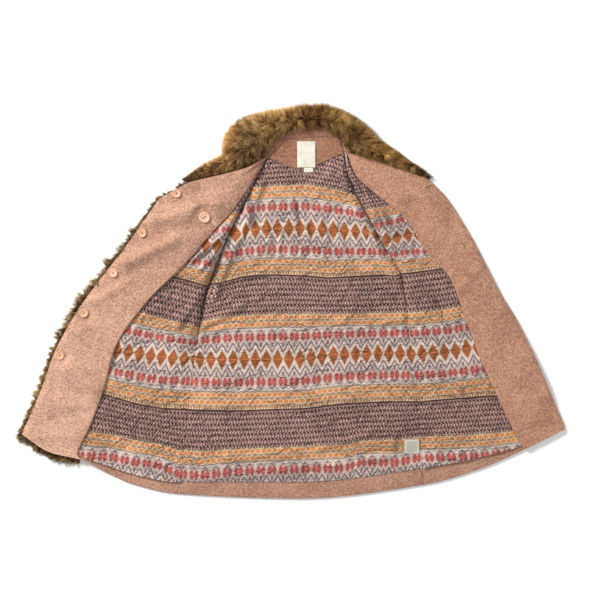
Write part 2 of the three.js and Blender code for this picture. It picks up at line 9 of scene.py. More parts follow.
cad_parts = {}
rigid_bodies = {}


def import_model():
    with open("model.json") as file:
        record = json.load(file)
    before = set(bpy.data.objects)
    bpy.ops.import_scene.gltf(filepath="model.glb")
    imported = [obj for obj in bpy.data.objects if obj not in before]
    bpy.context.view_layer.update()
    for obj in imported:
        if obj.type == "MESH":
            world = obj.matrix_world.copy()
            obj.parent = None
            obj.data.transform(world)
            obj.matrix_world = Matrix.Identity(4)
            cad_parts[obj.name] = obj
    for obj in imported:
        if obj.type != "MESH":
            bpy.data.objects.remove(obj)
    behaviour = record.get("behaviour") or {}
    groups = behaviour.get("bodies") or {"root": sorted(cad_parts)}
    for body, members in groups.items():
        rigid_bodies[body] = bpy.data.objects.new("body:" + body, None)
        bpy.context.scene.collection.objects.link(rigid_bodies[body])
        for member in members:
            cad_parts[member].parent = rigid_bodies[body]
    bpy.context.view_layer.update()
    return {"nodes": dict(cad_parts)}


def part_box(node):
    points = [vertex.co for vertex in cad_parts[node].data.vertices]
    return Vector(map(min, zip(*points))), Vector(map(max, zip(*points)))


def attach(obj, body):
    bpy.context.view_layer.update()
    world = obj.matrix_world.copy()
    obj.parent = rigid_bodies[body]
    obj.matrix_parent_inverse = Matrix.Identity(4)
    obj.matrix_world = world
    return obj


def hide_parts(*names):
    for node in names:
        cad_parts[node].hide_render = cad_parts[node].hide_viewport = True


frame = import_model()
scene = bpy.context.scene
mm = 0.001  # tables are in millimetres, as a pattern cutter writes them, meshes in metres

# The coat lies open on its back. Right and left are the wearer's, so the right front is at -X.
cloth = {
    "wool": 2.4,
    "lining": 1.0,
    "layerGap": 0.3,
    "seamGap": 0.3,
    "collarGap": 1.2,
    "liningEnd": 10.0,
    "hemEnd": 11.0,
    "hemTop": 9.88,
    "hemLapStart": 9.45,
}

# A row for each section from the neck down: front edge, facing edge, seam (x, y each).
rightSections = np.array([
    [-230, 266, -55, 323, -48, 326],  # neck
    [-295, 230, -58, 316, -51, 321],  # yoke
    [-323, 190, -92, 259, -83, 263],  # shoulder
    [-348, 154, -124, 209, -108, 212],  # high armhole
    [-381, 108, -178, 151, -140, 151],  # mid armhole
    [-421, 57, -241, 79, -171, 74],  # low armhole
    [-466, -4, -322, -2, -198, -2],  # underarm
    [-524, -104, -392, -104, -212, -99],  # waist
    [-560, -198, -418, -196, -225, -189],  # hip
    [-590, -268, -448, -277, -236, -290],  # low hip
    [-601, -292, -477, -346, -248, -407],  # lining edge
    [-603, -299, -466, -357, -256, -433],  # hem
], float)
leftSections = np.array([
    [310, 274, 124, 335, 117, 336],
    [344, 240, 125, 331, 118, 332],
    [366, 210, 144, 284, 127, 288],
    [382, 184, 189, 241, 147, 241],
    [410, 137, 259, 184, 177, 184],
    [436, 86, 297, 119, 209, 124],
    [470, 20, 356, 52, 250, 52],
    [508, -43, 394, -47, 263, -47],
    [549, -126, 428, -137, 270, -137],
    [596, -236, 479, -248, 287, -245],
    [614, -279, 518, -326, 296, -376],
    [616, -288, 524, -334, 298, -413],
], float)
centreSections = np.array([
    [27, 366], [22, 297], [22, 268], [22, 220], [22, 164], [22, 97],
    [22, 20], [20, -76], [20, -169], [20, -277], [20, -407], [20, -444],
], float)
backNeckCorners = {"right": [-11, 362], "left": [106, 369]}
# Where a section curves most: section row, place across, x, y.
sectionMiddles = [
    [0, 0.5, -99, 299], [0, 5.5, 182, 317], [1, 0.5, -168, 250], [1, 5.5, 226, 284],
    [11, 0.5, -538, -340], [11, 1.25, -414, -385], [11, 1.5, -360, -410],
    [11, 4.5, 412, -382], [11, 5.5, 574, -309],
]

# Soft ridges and troughs: x0, y0, x1, y1, half width, height, and a lean to the left if it has one.
woolFolds = [
    [-396, 70, -262, 138, 34, 5],
    [-318, 168, -150, 214, 36, 4],
    [-545, -120, -430, -205, 30, 4],
    [-520, -230, -450, -300, 36, 5],
    [300, -160, 380, -200, 30, 3],
    [396, -256, 450, -276, 24, 4],
    [330, 150, 440, 40, 40, 3],
]
liningFolds = [
    [-18, 283, 34, 268, 20, 4],
    [34, 268, 88, 292, 20, 4],
    [-70, 262, -118, 150, 16, 9, -5],
    [-122, 146, -178, 20, 18, 10, -6],
    [-176, 16, -230, -60, 22, 8, -5],
    [118, 290, 160, 190, 16, 8, 5],
    [170, 178, 232, 74, 18, 9, 6],
    [240, 66, 318, 6, 22, 6, 4],
    [-98, 226, -92, 148, 16, 3],
    [60, 190, 66, 130, 18, 3],
    [-40, 40, 60, 30, 30, 2],
    [100, -180, 210, -140, 34, 3],
    [-190, -230, -60, -260, 36, 3],
]
frontLiningFolds = [
    [-150, 132, -214, 84, 14, 4],
    [-186, 82, -160, 60, 12, 3],
    [186, 232, 214, 176, 14, 5],
    [230, 170, 262, 96, 16, 5],
    [320, -150, 376, -198, 22, 4],
]
# Smaller creases that only the finished cloth has.
liningCreases = [
    [-104, 236, -96, 176, 7, 2.6], [-88, 214, -92, 160, 6, -1.6],
    [2, 232, 10, 190, 7, 2.0], [14, 214, 20, 170, 6, -1.4],
    [34, 172, 40, 140, 7, 2.0], [66, 182, 84, 136, 7, 2.2],
    [96, 170, 118, 120, 8, 2.2], [-60, 190, -44, 128, 8, 1.8],
    [-20, 160, -28, 110, 7, 1.6], [138, 150, 168, 96, 8, 2.2],
    [-150, 40, -60, 66, 10, 2.0], [-204, -62, -110, -12, 12, 3.0],
    [-214, -84, -150, -58, 9, 2.2], [-180, -20, -110, 16, 9, 1.8],
    [40, -30, 120, -44, 12, 1.6], [150, -60, 250, -40, 12, 2.0],
    [-216, -190, -120, -176, 12, 1.8], [-230, -250, -150, -236, 12, 2.2],
    [60, -330, 170, -300, 14, 3.0], [150, -312, 270, -330, 12, 2.4],
    [-150, -356, 10, -340, 14, 2.6], [-60, -386, 60, -370, 9, 1.8],
    [90, -370, 240, -344, 10, 2.2], [-236, -352, -180, -372, 10, 2.0],
    [200, 60, 120, 84, 10, 1.6], [236, 20, 180, 34, 10, 1.8],
]
frontLiningCreases = [
    [-152, 147, -228, 88, 6, 5.0], [-150, 137, -222, 79, 5, -4.0],
    [-147, 128, -204, 70, 6, 5.0], [-150, 116, -192, 62, 5, -3.0],
    [-160, 100, -196, 52, 6, 3.0], [-252, 66, -190, 50, 8, 2.0], [-300, -20, -256, -36, 10, 2.0],
    [-190, 34, -252, -54, 9, 3.4], [-183, 28, -240, -62, 6, -2.6],
    [-372, -170, -250, -214, 14, 2.0], [-412, -240, -300, -270, 14, 2.0],
    [-330, -300, -262, -316, 9, 2.0], [-440, -308, -380, -320, 9, 1.6],
    [152, 284, 186, 205, 6, 3.0], [186, 205, 218, 137, 6, 3.4], [218, 137, 250, 70, 7, 3.2],
    [200, 196, 232, 150, 6, 4.0], [252, 62, 282, 34, 7, 4.4], [282, 34, 318, 2, 7, 4.0],
    [244, 56, 296, 0, 5, -3.0], [262, 96, 300, 84, 8, 2.0], [394, -254, 412, -268, 6, 3.0],
    [412, -268, 442, -274, 6, 2.6], [320, -150, 380, -200, 7, 4.0], [328, -145, 386, -194, 6, -2.6],
    [330, -60, 400, -76, 12, 1.8], [350, -300, 450, -306, 12, 2.2],
]
woolCreases = [
    [-470, -70, -405, -132, 12, 7.0], [-548, -92, -500, -150, 14, 5.5],
    [-400, 72, -262, 136, 20, 8.0], [-360, 112, -220, 170, 18, -3.0],
    [-330, 172, -166, 216, 20, 7.5], [-310, 214, -200, 246, 14, -3.0],
    [-444, 14, -346, 72, 16, -3.0], [-470, -14, -380, 30, 16, 4.0],
    [-500, -40, -430, -66, 12, 3.5], [-540, -106, -436, -196, 15, 9.0],
    [-556, -140, -470, -216, 16, -3.0], [-430, -80, -404, -118, 9, 5.5],
    [-575, -196, -490, -236, 20, 4.5], [-530, -262, -440, -246, 16, -2.5],
    [-560, -300, -480, -300, 18, 3.5], [404, -8, 470, -30, 18, 4.2],
    [500, -120, 560, -130, 18, 4.0], [520, -220, 590, -214, 18, 4.0],
    [290, 238, 350, 206, 16, 5.0], [240, 226, 300, 250, 14, 3.6],
    [420, 70, 372, 20, 16, 4.2], [330, 130, 400, 60, 18, 5.0],
    [470, -150, 540, -190, 18, 4.6], [420, -60, 500, -96, 16, -2.5],
    [540, -270, 600, -262, 14, 3.4], [360, 176, 398, 130, 14, -2.5],
]

sleeves = {
    "right": {"mouth": (2.6, 5.3), "cuffOuter": (-511, -115), "cuffInner": (-389, -200), "bow": 0},
    "left": {"mouth": (2.6, 4.7), "cuffOuter": (529, -196), "cuffInner": (400, -262), "bow": 30},
    "thick": 6.4,
    "clear": 6.8,
    "margin": 36,
    "fall": 58,
    "mouthOffset": 2,
    "rings": 60,
    "around": 48,
}
placket = {
    "pile": 6.8,
    "clear": 8.5,
    "width": 142,
    "stepFall": 0.4,
    "hemReach": 19,
    "reach": [[0, 13], [2, 14], [3, 16], [5, 19], [6, 20], [7, 14], [9, 13], [11, 13]],
}


def smoothThrough(knots, values, at):  # a curve through the values that never swings past them
    knots, values, at = (np.asarray(a, float) for a in (knots, values, at))
    widths = np.diff(knots).reshape(-1, *[1] * (values.ndim - 1))
    slopes = np.diff(values, axis=0) / widths
    before, after = slopes[:-1], slopes[1:]
    rising = before * after > 0
    inner = np.where(rising, 2 * before * after / np.where(rising, before + after, 1), 0)
    tangents = np.concatenate([slopes[:1], inner, slopes[-1:]])
    k = np.clip(np.searchsorted(knots, at, side="left") - 1, 0, len(knots) - 2)
    t = ((at - knots[k]) / np.diff(knots)[k]).reshape(-1, *[1] * (values.ndim - 1))
    w = widths[k]
    return (
        values[k] * (2 * t**3 - 3 * t**2 + 1)
        + tangents[k] * w * (t**3 - 2 * t**2 + t)
        + values[k + 1] * (3 * t**2 - 2 * t**3)
        + tangents[k + 1] * w * (t**3 - t**2)
    )


def smoothStep(low, high, value):
    t = np.clip((np.asarray(value, float) - low) / (high - low), 0, 1)
    return t * t * (3 - 2 * t)


def sectionCurve(row):
    right, left, centre = rightSections[row], leftSections[row], centreSections[row]
    points = [
        [0, *right[0:2]], [1, *right[2:4]], [2, *right[4:6]], [3, *centre],
        [4, *left[4:6]], [5, *left[2:4]], [6, *left[0:2]],
    ]
    points += [[across, x, y] for r, across, x, y in sectionMiddles if r == row]
    return np.array(sorted(points))


sectionCurves = [sectionCurve(row) for row in range(len(rightSections))]
backNeckCurve = np.array([
    [2, *backNeckCorners["right"]], [3, *centreSections[0]], [4, *backNeckCorners["left"]],
])
seamSteps = np.hypot(*np.diff(rightSections[:, 4:6], axis=0).T)
sectionKnots = np.concatenate([[0], np.cumsum(seamSteps)])


# The laid-out coat at every place down (rows) and place across (columns), in millimetres.
def layout(across, down, onBack=False):
    across, down = np.atleast_1d(across).astype(float), np.atleast_1d(down).astype(float)
    curves = ([backNeckCurve] if onBack else sectionCurves[:1]) + sectionCurves[1:]
    rows = np.array([smoothThrough(c[:, 0], c[:, 1:], across) for c in curves])
    below = smoothThrough(sectionKnots[1:], rows[1:], np.interp(
        np.maximum(down, 1), np.arange(len(sectionKnots)), sectionKnots))
    t = np.clip(down, 0, 1)[:, None, None]
    above = rows[0] + (rows[1] - rows[0]) * t
    return np.where((down < 1)[:, None, None], above, below)


def distanceToLine(x, y, x0, y0, x1, y1):
    dx, dy = x1 - x0, y1 - y0
    t = np.clip(((x - x0) * dx + (y - y0) * dy) / (dx * dx + dy * dy), 0, 1)
    return np.hypot(x - x0 - t * dx, y - y0 - t * dy)


# The highest ridge and the deepest trough, so folds that meet don't pile up.
def foldHeight(folds, xy):
    x, y = xy[..., 0], xy[..., 1]
    heights = [
        h * np.exp(-2 * (distanceToLine(x, y, x0, y0, x1, y1) / w) ** 2)
        for x0, y0, x1, y1, w, h, *_ in folds
    ]
    return np.maximum(0, np.max(heights, axis=0)) + np.minimum(0, np.min(heights, axis=0))


# A leaning ridge hangs over the cloth beside it.
def foldLean(folds, xy):
    x, y = xy[..., 0], xy[..., 1]
    shift = np.zeros_like(xy)
    for x0, y0, x1, y1, w, _, *lean in folds:
        if lean:
            length = math.hypot(x1 - x0, y1 - y0)
            side = np.array([(y1 - y0) / length, -(x1 - x0) / length])
            near = np.exp(-2 * (distanceToLine(x, y, x0, y0, x1, y1) / w) ** 2)
            shift += near[..., None] * side * lean[0]
    return shift


# Nothing lifts the cloth under a button or a label: x, y, radius.
calmPlaces = [
    [-256, 241, 16], [-333, 152, 16], [-397, 62, 16], [-463, -27, 16], [-517, -122, 16],
    [-193, 187, 18], [36, 320, 44], [272, -327, 30],
]


def calm(xy):
    still = 1
    for x, y, radius in calmPlaces:
        still = still * smoothStep(radius, radius + 18, np.hypot(xy[..., 0] - x, xy[..., 1] - y))
    return still


# A roll of cloth along a seam: its height by place down, and how far from the seam it peaks.
seamRolls = {
    "right": [[0, 0, 8], [1, 6, 8], [2, 11, 8], [3.5, 16, 9], [5, 17, 11], [6, 15, 13], [7, 5, 20],
              [8, 0.6, 30], [9, 0, 40], [11, 0, 40]],
    "left": [[0, 0, 6], [1, 6, 6], [2, 11, 8], [3.5, 15, 10], [5, 15, 11], [6, 8, 15], [7, 1.2, 24],
             [8, 0.1, 34], [9, 0, 40], [11, 0, 40]],
}


def seamRoll(side, flat, down, columnAtSeam):
    table = np.array(seamRolls[side], float)
    height, peak = smoothThrough(table[:, 0], table[:, 1:], down).T[:, :, None]
    away = np.linalg.norm(flat - flat[:, columnAtSeam][:, None], axis=-1) / peak
    wander = 0.75 + 0.25 * np.sin(down * 5.3 + (1 if side == "left" else 0))[:, None]
    return height * wander * away * np.exp(1 - away)


# Gentle unevenness from a few waves in fixed directions, always upwards.
def unevenness(xy, height, wave, seed):
    random = np.random.default_rng(seed)
    total = 0
    for _ in range(9):
        angle, phase = random.uniform(0, math.tau, 2)
        stretch = random.uniform(0.6, 1.7)
        run = xy[..., 0] * math.cos(angle) + xy[..., 1] * math.sin(angle)
        total = total + np.sin(run * math.tau / (wave * stretch) + phase)
    return height * (0.5 + np.clip(total / 9, -0.5, 0.5))


def sleeveMouth(side, t):
    first, last = sleeves[side]["mouth"]
    seam, outward = (2, -1) if side == "right" else (4, 1)
    xy = layout(seam, first + (last - first) * np.atleast_1d(t))[:, 0]
    return xy + [outward * sleeves["mouthOffset"], 0]


def sleevePoint(side, along, t):
    t = np.atleast_1d(t)
    outer, inner = np.array(sleeves[side]["cuffOuter"]), np.array(sleeves[side]["cuffInner"])
    mouth, cuff = sleeveMouth(side, t), outer + (inner - outer) * t[:, None]
    xy = mouth + (cuff - mouth) * along
    xy[:, 0] += sleeves[side]["bow"] * t * math.sin(math.pi * along)
    return xy


def sleevePlan(side):
    underarm = [sleevePoint(side, along, 1)[0] for along in np.linspace(0, 1, 9)[1:]]
    return np.array([*sleeveMouth(side, np.linspace(0, 1, 7)), *underarm, sleevePoint(side, 1, 0)[0]])


def distanceToPlan(plan, xy):
    x, y = xy[..., 0], xy[..., 1]
    inside, nearest = np.zeros(x.shape, bool), np.full(x.shape, np.inf)
    for (x0, y0), (x1, y1) in zip(plan, np.roll(plan, -1, axis=0)):
        nearest = np.minimum(nearest, distanceToLine(x, y, x0, y0, x1, y1))
        crosses = (y0 > y) != (y1 > y)
        inside ^= crosses & (x < (x1 - x0) * (y - y0) / (y1 - y0 + 1e-12) + x0)
    return np.where(inside, 0, nearest)


sleevePlans = {side: sleevePlan(side) for side in ("right", "left")}


def placketInner(down):  # the place across where the placket's inner edge lies
    ends = layout([0, 1], down)
    return np.minimum(1, placket["width"] / np.hypot(*(ends[:, 0] - ends[:, 1]).T))


# How high the outer cloth of a front lies over its sleeve and the fur placket.
def underFront(side, across, down, withPlacket=True):
    xy = layout(across, down)
    across, downs = np.atleast_1d(across)[None, :], np.atleast_1d(down)[:, None]
    margin = sleeves["margin"]
    away = distanceToPlan(sleevePlans[side], xy)
    over = sleeves["clear"] * (1 - smoothStep(margin, margin + sleeves["fall"], away))
    fromSeam = 2 - across if side == "right" else across - 4
    nearSeam, belowArmhole = smoothStep(0, 0.12, fromSeam), smoothStep(6.2, 7.2, downs)
    fade = smoothStep(0, 0.3, fromSeam) * smoothStep(0, 0.8, downs)
    high = over * (1 - belowArmhole * (1 - nearSeam)) + foldHeight(woolFolds, xy) * fade
    if side == "right" and withPlacket:
        inner = placketInner(np.atleast_1d(down))[:, None] + 0.06
        high = high + placket["clear"] * (1 - smoothStep(0, placket["stepFall"], across - inner))
    return high


def hemLap(down):
    return (cloth["wool"] + cloth["layerGap"]) * smoothStep(cloth["hemLapStart"], cloth["hemTop"], down)


overWool = cloth["wool"] + cloth["layerGap"]
print("layout ready")


# Shader and geometry trees are written as expressions on sockets.
class Wire:
    def __init__(self, tree, socket):
        self.tree = tree
        self.socket = socket

    def maths(self, operation, *values, clamp=False):
        return self.tree.node("ShaderNodeMath", {"operation": operation, "use_clamp": clamp},
                              dict(enumerate(values)))

    def __add__(self, other):
        return self.maths("ADD", self, other)

    def __sub__(self, other):
        return self.maths("SUBTRACT", self, other)

    def __rsub__(self, other):
        return self.maths("SUBTRACT", other, self)

    def __mul__(self, other):
        return self.maths("MULTIPLY", self, other)

    def __truediv__(self, other):
        return self.maths("DIVIDE", self, other)

    def __rtruediv__(self, other):
        return self.maths("DIVIDE", other, self)

    def __pow__(self, other):
        return self.maths("POWER", self, other)

    __radd__ = __add__
    __rmul__ = __mul__

    def fraction(self):
        return self.maths("FRACT", self)

    def size(self):
        return self.maths("ABSOLUTE", self)

    def least(self, other):
        return self.maths("MINIMUM", self, other)

    def most(self, other):
        return self.maths("MAXIMUM", self, other)

    def below(self, limit, blur):  # 1 where the value is under the limit, with a soft edge
        return self.maths("ADD", (limit - self) / blur, 0.5, clamp=True)

    def above(self, limit, blur):
        return self.maths("ADD", (self - limit) / blur, 0.5, clamp=True)

    def output(self, key):  # another output of the same node
        return Wire(self.tree, self.socket.node.outputs[key])


class Tree:
    def __init__(self, tree):
        self.tree = tree

    def node(self, kind, settings=None, inputs=None, output=0):
        node = self.tree.nodes.new(kind)
        for key, value in (settings or {}).items():
            setattr(node, key, value)
        for key, value in (inputs or {}).items():
            if isinstance(value, Wire):
                self.tree.links.new(value.socket, node.inputs[key])
            else:
                node.inputs[key].default_value = value
        return Wire(self, node.outputs[output])

    def ramp(self, value, stops):
        made = self.node("ShaderNodeValToRGB", None, {0: value})
        elements = made.socket.node.color_ramp.elements
        while len(elements) < len(stops):
            elements.new(0.5)
        for element, (place, colour) in zip(elements, stops):
            element.position = place
            element.color = paint(colour)
        return made

    def mix(self, factor, first, second, blend="MIX"):
        settings = {"data_type": "RGBA", "blend_type": blend}
        first, second = (paint(c) if isinstance(c, tuple) else c for c in (first, second))
        return self.node("ShaderNodeMix", settings, {0: factor, 6: first, 7: second}, 2)

    def noise(self, place, scale, detail=3, rough=0.5):
        inputs = {"Vector": place, "Scale": scale, "Detail": detail, "Roughness": rough}
        return self.node("ShaderNodeTexNoise", None, inputs)

    def stretched(self, place, size, turn=0):
        return self.node("ShaderNodeMapping", None, {
            "Vector": place, "Rotation": (0, 0, turn), "Scale": size})

    def place(self):  # where a point is, in metres
        return self.node("ShaderNodeTexCoord", None, None, 3)

    def parts(self, vector):  # its x, y and z
        x = self.node("ShaderNodeSeparateXYZ", None, {0: vector})
        return x, x.output(1), x.output(2)


def paint(colour):  # a colour given as it is seen, 0 to 255, made linear
    channels = [c / 255 for c in colour]
    return (*[c / 12.92 if c <= 0.04045 else ((c + 0.055) / 1.055) ** 2.4 for c in channels], 1)


def newMaterial(name, fixed):
    material = bpy.data.materials.new(name)
    material.use_nodes = True
    shader = material.node_tree.nodes["Principled BSDF"]
    for socket, value in fixed.items():
        shader.inputs[socket].default_value = value
    return material, Tree(material.node_tree), shader


def bump(tree, shader, height, distance, strength=1.0):
    normal = tree.node("ShaderNodeBump", None, {
        "Height": height, "Distance": distance, "Strength": strength})
    tree.tree.links.new(normal.socket, shader.inputs["Normal"])


def feed(tree, shader, socket, wire):
    tree.tree.links.new(wire.socket, shader.inputs[socket])


woolLook = {
    "light": (232, 190, 163),
    "middle": (205, 160, 134),
    "dark": (160, 117, 95),
    "stops": {"dark": 0.39, "middle": 0.52, "light": 0.65},
    "curl": 400,
    "swirl": 168,
    "nub": 350,
    "patch": 16,
}


def woolMaterial(name, tint=(1, 1, 1), paler=0.0):  # paler towards the hem as painted light; a tint makes lit and shaded copies
    material, tree, shader = newMaterial(name, {
        "Roughness": 0.95, "Specular IOR Level": 0.2, "Sheen Weight": 0.35,
        "Sheen Roughness": 0.6, "Sheen Tint": paint((250, 225, 205)),
    })
    place = tree.place()
    curl = tree.noise(place, woolLook["curl"], 3, 0.65)
    swirl = tree.noise(place, woolLook["swirl"], 2, 0.5)
    nub = tree.node("ShaderNodeTexVoronoi", {"feature": "F1"}, {
        "Vector": place, "Scale": woolLook["nub"]})
    patch = tree.noise(place, woolLook["patch"], 4, 0.6)
    _, up, _ = tree.parts(place)
    # The up term paints light: the wool grows paler towards the hem.
    grain = curl * 0.6 + swirl * 0.3 + patch * 0.24 - nub * 0.2 - up * paler + 0.018
    tone = tree.ramp(grain, [
        (stop, tuple(c * t for c, t in zip(woolLook[key], tint)))
        for key, stop in woolLook["stops"].items()])
    feed(tree, shader, "Base Color", tone)
    bump(tree, shader, curl * 0.9 + swirl * 0.7 - nub * 0.7, 2.4 * mm, 0.8)
    return material


# The lining's print: u counts motifs across, v counts bands up from a dark beaded line. Where the
# bands' parts lie is in millimetres, up from that line or away from the diamonds' middles.
printLook = {
    "motif": 25.0,
    "period": 297.0,
    "diamondAt": 110.0,
    "petalsAt": 50.0,
    "ringsAt": 86.2,
    "bandTop": 215.0,
    "plumRow": 11.6,
    "lastBand": 1.97,
    "backTo": 1.75,
    "cream": (216, 197, 183),
    "blush": (206, 168, 164),
    "mauve": (122, 98, 108),
    "brown": (156, 86, 42),
    "tan": (184, 104, 50),
    "amber": (218, 132, 70),
    "butter": (226, 196, 164),
    "red": (172, 80, 80),
    "coral": (214, 118, 92),
    "ochre": (206, 154, 98),
    "grey": (118, 106, 104),
    "darkLine": (66, 34, 32),
    "plum": (142, 98, 92),
    "plumDark": (26, 12, 14),
    "plumPale": (226, 192, 178),
}


# In these p is 0 on a diamond and 0.5 between two, q the other way, d the distance from their middles.
def diamondRows(tree, place, p, q, d):
    look = printLook
    diamond = (p / 0.475 + d / 23.5).below(1, 0.08)
    warmth = tree.noise(place, 55, 2).above(0.52, 0.2)
    brown = tree.mix(warmth * 0.5, look["brown"], look["tan"])
    colour = tree.mix(diamond, look["cream"], brown)
    colour = tree.mix(d.below(0.7, 1.0) * diamond, colour, look["amber"])
    zigzag = (d - (37.5 - p * 42)).size().below(3.4, 2.0) * d.below(44, 2)
    colour = tree.mix(zigzag * 0.9, colour, look["mauve"])
    inner = (d - (47.5 - p * 46)).size().below(1.6, 1.6) * d.below(40, 2) * d.above(27, 2)
    colour = tree.mix(inner * 0.55, colour, look["blush"])
    seed = (q / 0.11 + ((d - 32.5) / 7.4) ** 2).below(1, 0.3)
    return tree.mix(seed * 0.9, colour, look["mauve"])


def petalRows(tree, colour, ripple, q, d):
    look = printLook
    away = (d - look["petalsAt"]).size()
    petal = ((q - 0.2).size() / 0.22) ** 1.5 + (away / 11.0) ** 1.5
    colour = tree.mix((petal - 1.45).size().below(0.14, 0.16) * 0.6, colour, look["mauve"])
    colour = tree.mix(petal.below(1, 0.3), colour, look["red"])
    waist = q.below(0.06, 0.12) * away.below(6, 4) * petal.below(1.1, 0.3)
    colour = tree.mix(waist * 0.85, colour, look["coral"])
    across = away.below(1.0, 1.4) * petal.below(1, 0.3)
    colour = tree.mix(across * 0.5, colour, look["coral"])
    arrow = (q / 0.15 + (d - 64).size() / 4.5).below(1, 0.3)
    colour = tree.mix(arrow * 0.85, colour, look["mauve"])
    wave = (d - (61.5 + ripple * 7)).size().below(1.2, 1.2)
    return tree.mix(wave * 0.6, colour, look["grey"])


def ringRows(tree, colour, ripple, u, q, d):
    look = printLook
    edge = 69.5 + ripple * 2.2
    ochre = d.above(edge, 1.2)
    colour = tree.mix(ochre, colour, look["ochre"])
    colour = tree.mix((d - edge).size().below(1.1, 1.0) * 0.8, colour, look["grey"])
    row = (d - look["ringsAt"]).size() - 7.8  # 0 on either row of rings
    side = ((u * 2).fraction() - 0.5) * (look["motif"] / 2)
    ring = (side ** 2 + row ** 2) ** 0.5
    bold = q.below(0.25, 0.02) * 0.2 + 0.8
    colour = tree.mix(ring.above(7.0, 0.9) * ring.below(9.2, 0.9) * ochre * 0.7, colour, look["grey"])
    colour = tree.mix((ring - 6.0).size().below(0.9, 0.8) * ochre * bold, colour, look["butter"])
    colour = tree.mix((ring - 4.8).size().below(0.35, 0.7) * ochre * 0.55, colour, look["grey"])
    colour = tree.mix(ring.below(4.0, 0.9) * ochre, colour, look["amber"])
    arch = ((side.size() - look["motif"] / 4) ** 2 + (d - 103) ** 2).below(6, 5)
    return tree.mix(arch * ochre * 0.75, colour, look["grey"])


def plumRows(tree, place, u, w):
    look = printLook
    rows = (w - look["bandTop"]) / look["plumRow"]
    lift = rows.fraction()
    course = rows - lift
    dark = tree.noise(place, 90, 2).above(0.36, 0.3)
    dash = ((u * 3 + course * 0.5 + lift * 1.1).fraction() - 0.5).size()
    tick = ((u * 4 - lift * 0.7 + course * 0.25).fraction() - 0.5).size()
    thick = (lift - 0.27).size().below(0.16, 0.12)
    fine = (lift - 0.77).size().below(0.17, 0.12)
    drawn = dash.below(0.33, 0.1) * thick * (dark * 0.3 + 0.7)
    ground = tree.mix(drawn, look["plum"], look["plumDark"])
    ground = tree.mix(dash.above(0.40, 0.08) * thick * 0.7, ground, look["plumPale"])
    ground = tree.mix(fine * 0.35, ground, look["plumPale"])
    ground = tree.mix(tick.below(0.22, 0.1) * fine * 0.8, ground, look["plumDark"])
    return tree.mix(tick.above(0.36, 0.1) * fine * 0.8, ground, look["plumPale"])


def beadLines(tree, colour, u, w):
    look = printLook
    top = w.above(look["bandTop"] - 3.0, 1.0) * w.below(look["bandTop"] + 0.2, 1.0)
    studs = ((u * 4).fraction() - 0.5).size()
    colour = tree.mix(top * studs.below(0.24, 0.1), colour, look["darkLine"])
    colour = tree.mix(top * studs.above(0.3, 0.1) * 0.6, colour, look["cream"])
    cord = (w + studs * 5).above(look["period"] - 2.2, 1.0)
    colour = tree.mix(cord, colour, look["darkLine"])
    bead = ((studs * (look["motif"] / 4)) ** 2 + (w - 2.2) ** 2).below(3.2, 2.5)
    colour = tree.mix(bead, colour, look["cream"])
    between = studs.above(0.3, 0.1) * (w - 3.2).size().below(1.6, 1.0)
    return tree.mix(between * 0.8, colour, look["darkLine"])


def printMaterial():
    look = printLook
    material, tree, shader = newMaterial("liningPrint", {
        "Roughness": 0.6, "Specular IOR Level": 0.35, "Sheen Weight": 0.15,
        "Sheen Roughness": 0.4,
    })
    u, v, _ = tree.parts(tree.node("ShaderNodeUVMap", {"uv_map": "print"}))
    place = tree.place()
    wobble = (tree.noise(place, 160, 2) - 0.5) * 0.10
    u = u + wobble
    w = v.fraction() * look["period"] + wobble * 14
    d = (w - look["diamondAt"]).size()
    p = ((u + 0.5).fraction() - 0.5).size()
    q = 0.5 - p
    ripple = (p - 0.25).size() * 4

    colour = diamondRows(tree, place, p, q, d)
    colour = petalRows(tree, colour, ripple, q, d)
    colour = ringRows(tree, colour, ripple, u, q, d)
    colour = tree.mix(w.above(look["bandTop"], 1.0), colour, plumRows(tree, place, u, w))
    colour = beadLines(tree, colour, u, w)

    thread = tree.noise(tree.stretched(place, (300, 2600, 1)), 1, 2)
    fade = tree.noise(place, 14, 3)
    grit = tree.noise(place, 520, 2)
    tone = thread * 0.35 + fade * 0.3 + grit * 0.9 + 0.12
    worn = tree.ramp(tone, [(0, (0, 0, 0)), (1, (255, 255, 255))])
    feed(tree, shader, "Base Color", tree.mix(1.0, colour, worn, "MULTIPLY"))
    bent = tree.noise(place, 9, 2)
    crumple = tree.noise(tree.stretched(place, (26, 44, 30), 0.5), 1, 4, 0.55)
    ridge = 1 - ((crumple - 0.5).size() * 9).least(1)
    relief = ridge * bent.above(0.42, 0.3) * 0.7 + crumple * 1.15 + thread * 0.04 + grit * 0.12
    bump(tree, shader, relief, 9 * mm, 1.0)
    return material


def plainMaterial(name, light, dark, fixed, scale=700, depth=0.3):
    material, tree, shader = newMaterial(name, fixed)
    place = tree.place()
    grain = tree.noise(place, scale, 3)
    feed(tree, shader, "Base Color", tree.ramp(grain, [(0.3, dark), (0.7, light)]))
    bump(tree, shader, grain, depth * mm, 0.6)
    return material


def labelMaterial(name, shade, panel=None):  # a panel is duller inside a turned edge
    material, tree, shader = newMaterial(name, {"Roughness": 0.5, "Sheen Weight": 0.3})
    place = tree.place()
    weave = tree.noise(tree.stretched(place, (400, 3000, 1)), 1, 2)
    cloud = tree.noise(place, 60, 2)
    pale, dull = (tuple(c * shade for c in colour) for colour in ((238, 233, 218), (206, 200, 184)))
    tone = tree.ramp(weave * 0.4 + cloud * 0.6, [(0.35, dull), (0.65, pale)])
    if panel:
        middle, reach = (panel[0] + panel[1]) / 2, (panel[1] - panel[0]) / 2
        across, up = (((part - middle[k]) / reach[k]).size()
                      for k, part in enumerate(tree.parts(place)[:2]))
        tone = tree.mix(across.below(0.74, 0.12) * up.below(0.76, 0.12) * 0.6, tone, (150, 147, 132))
    feed(tree, shader, "Base Color", tone)
    bump(tree, shader, weave, 0.3 * mm, 0.5)
    return material


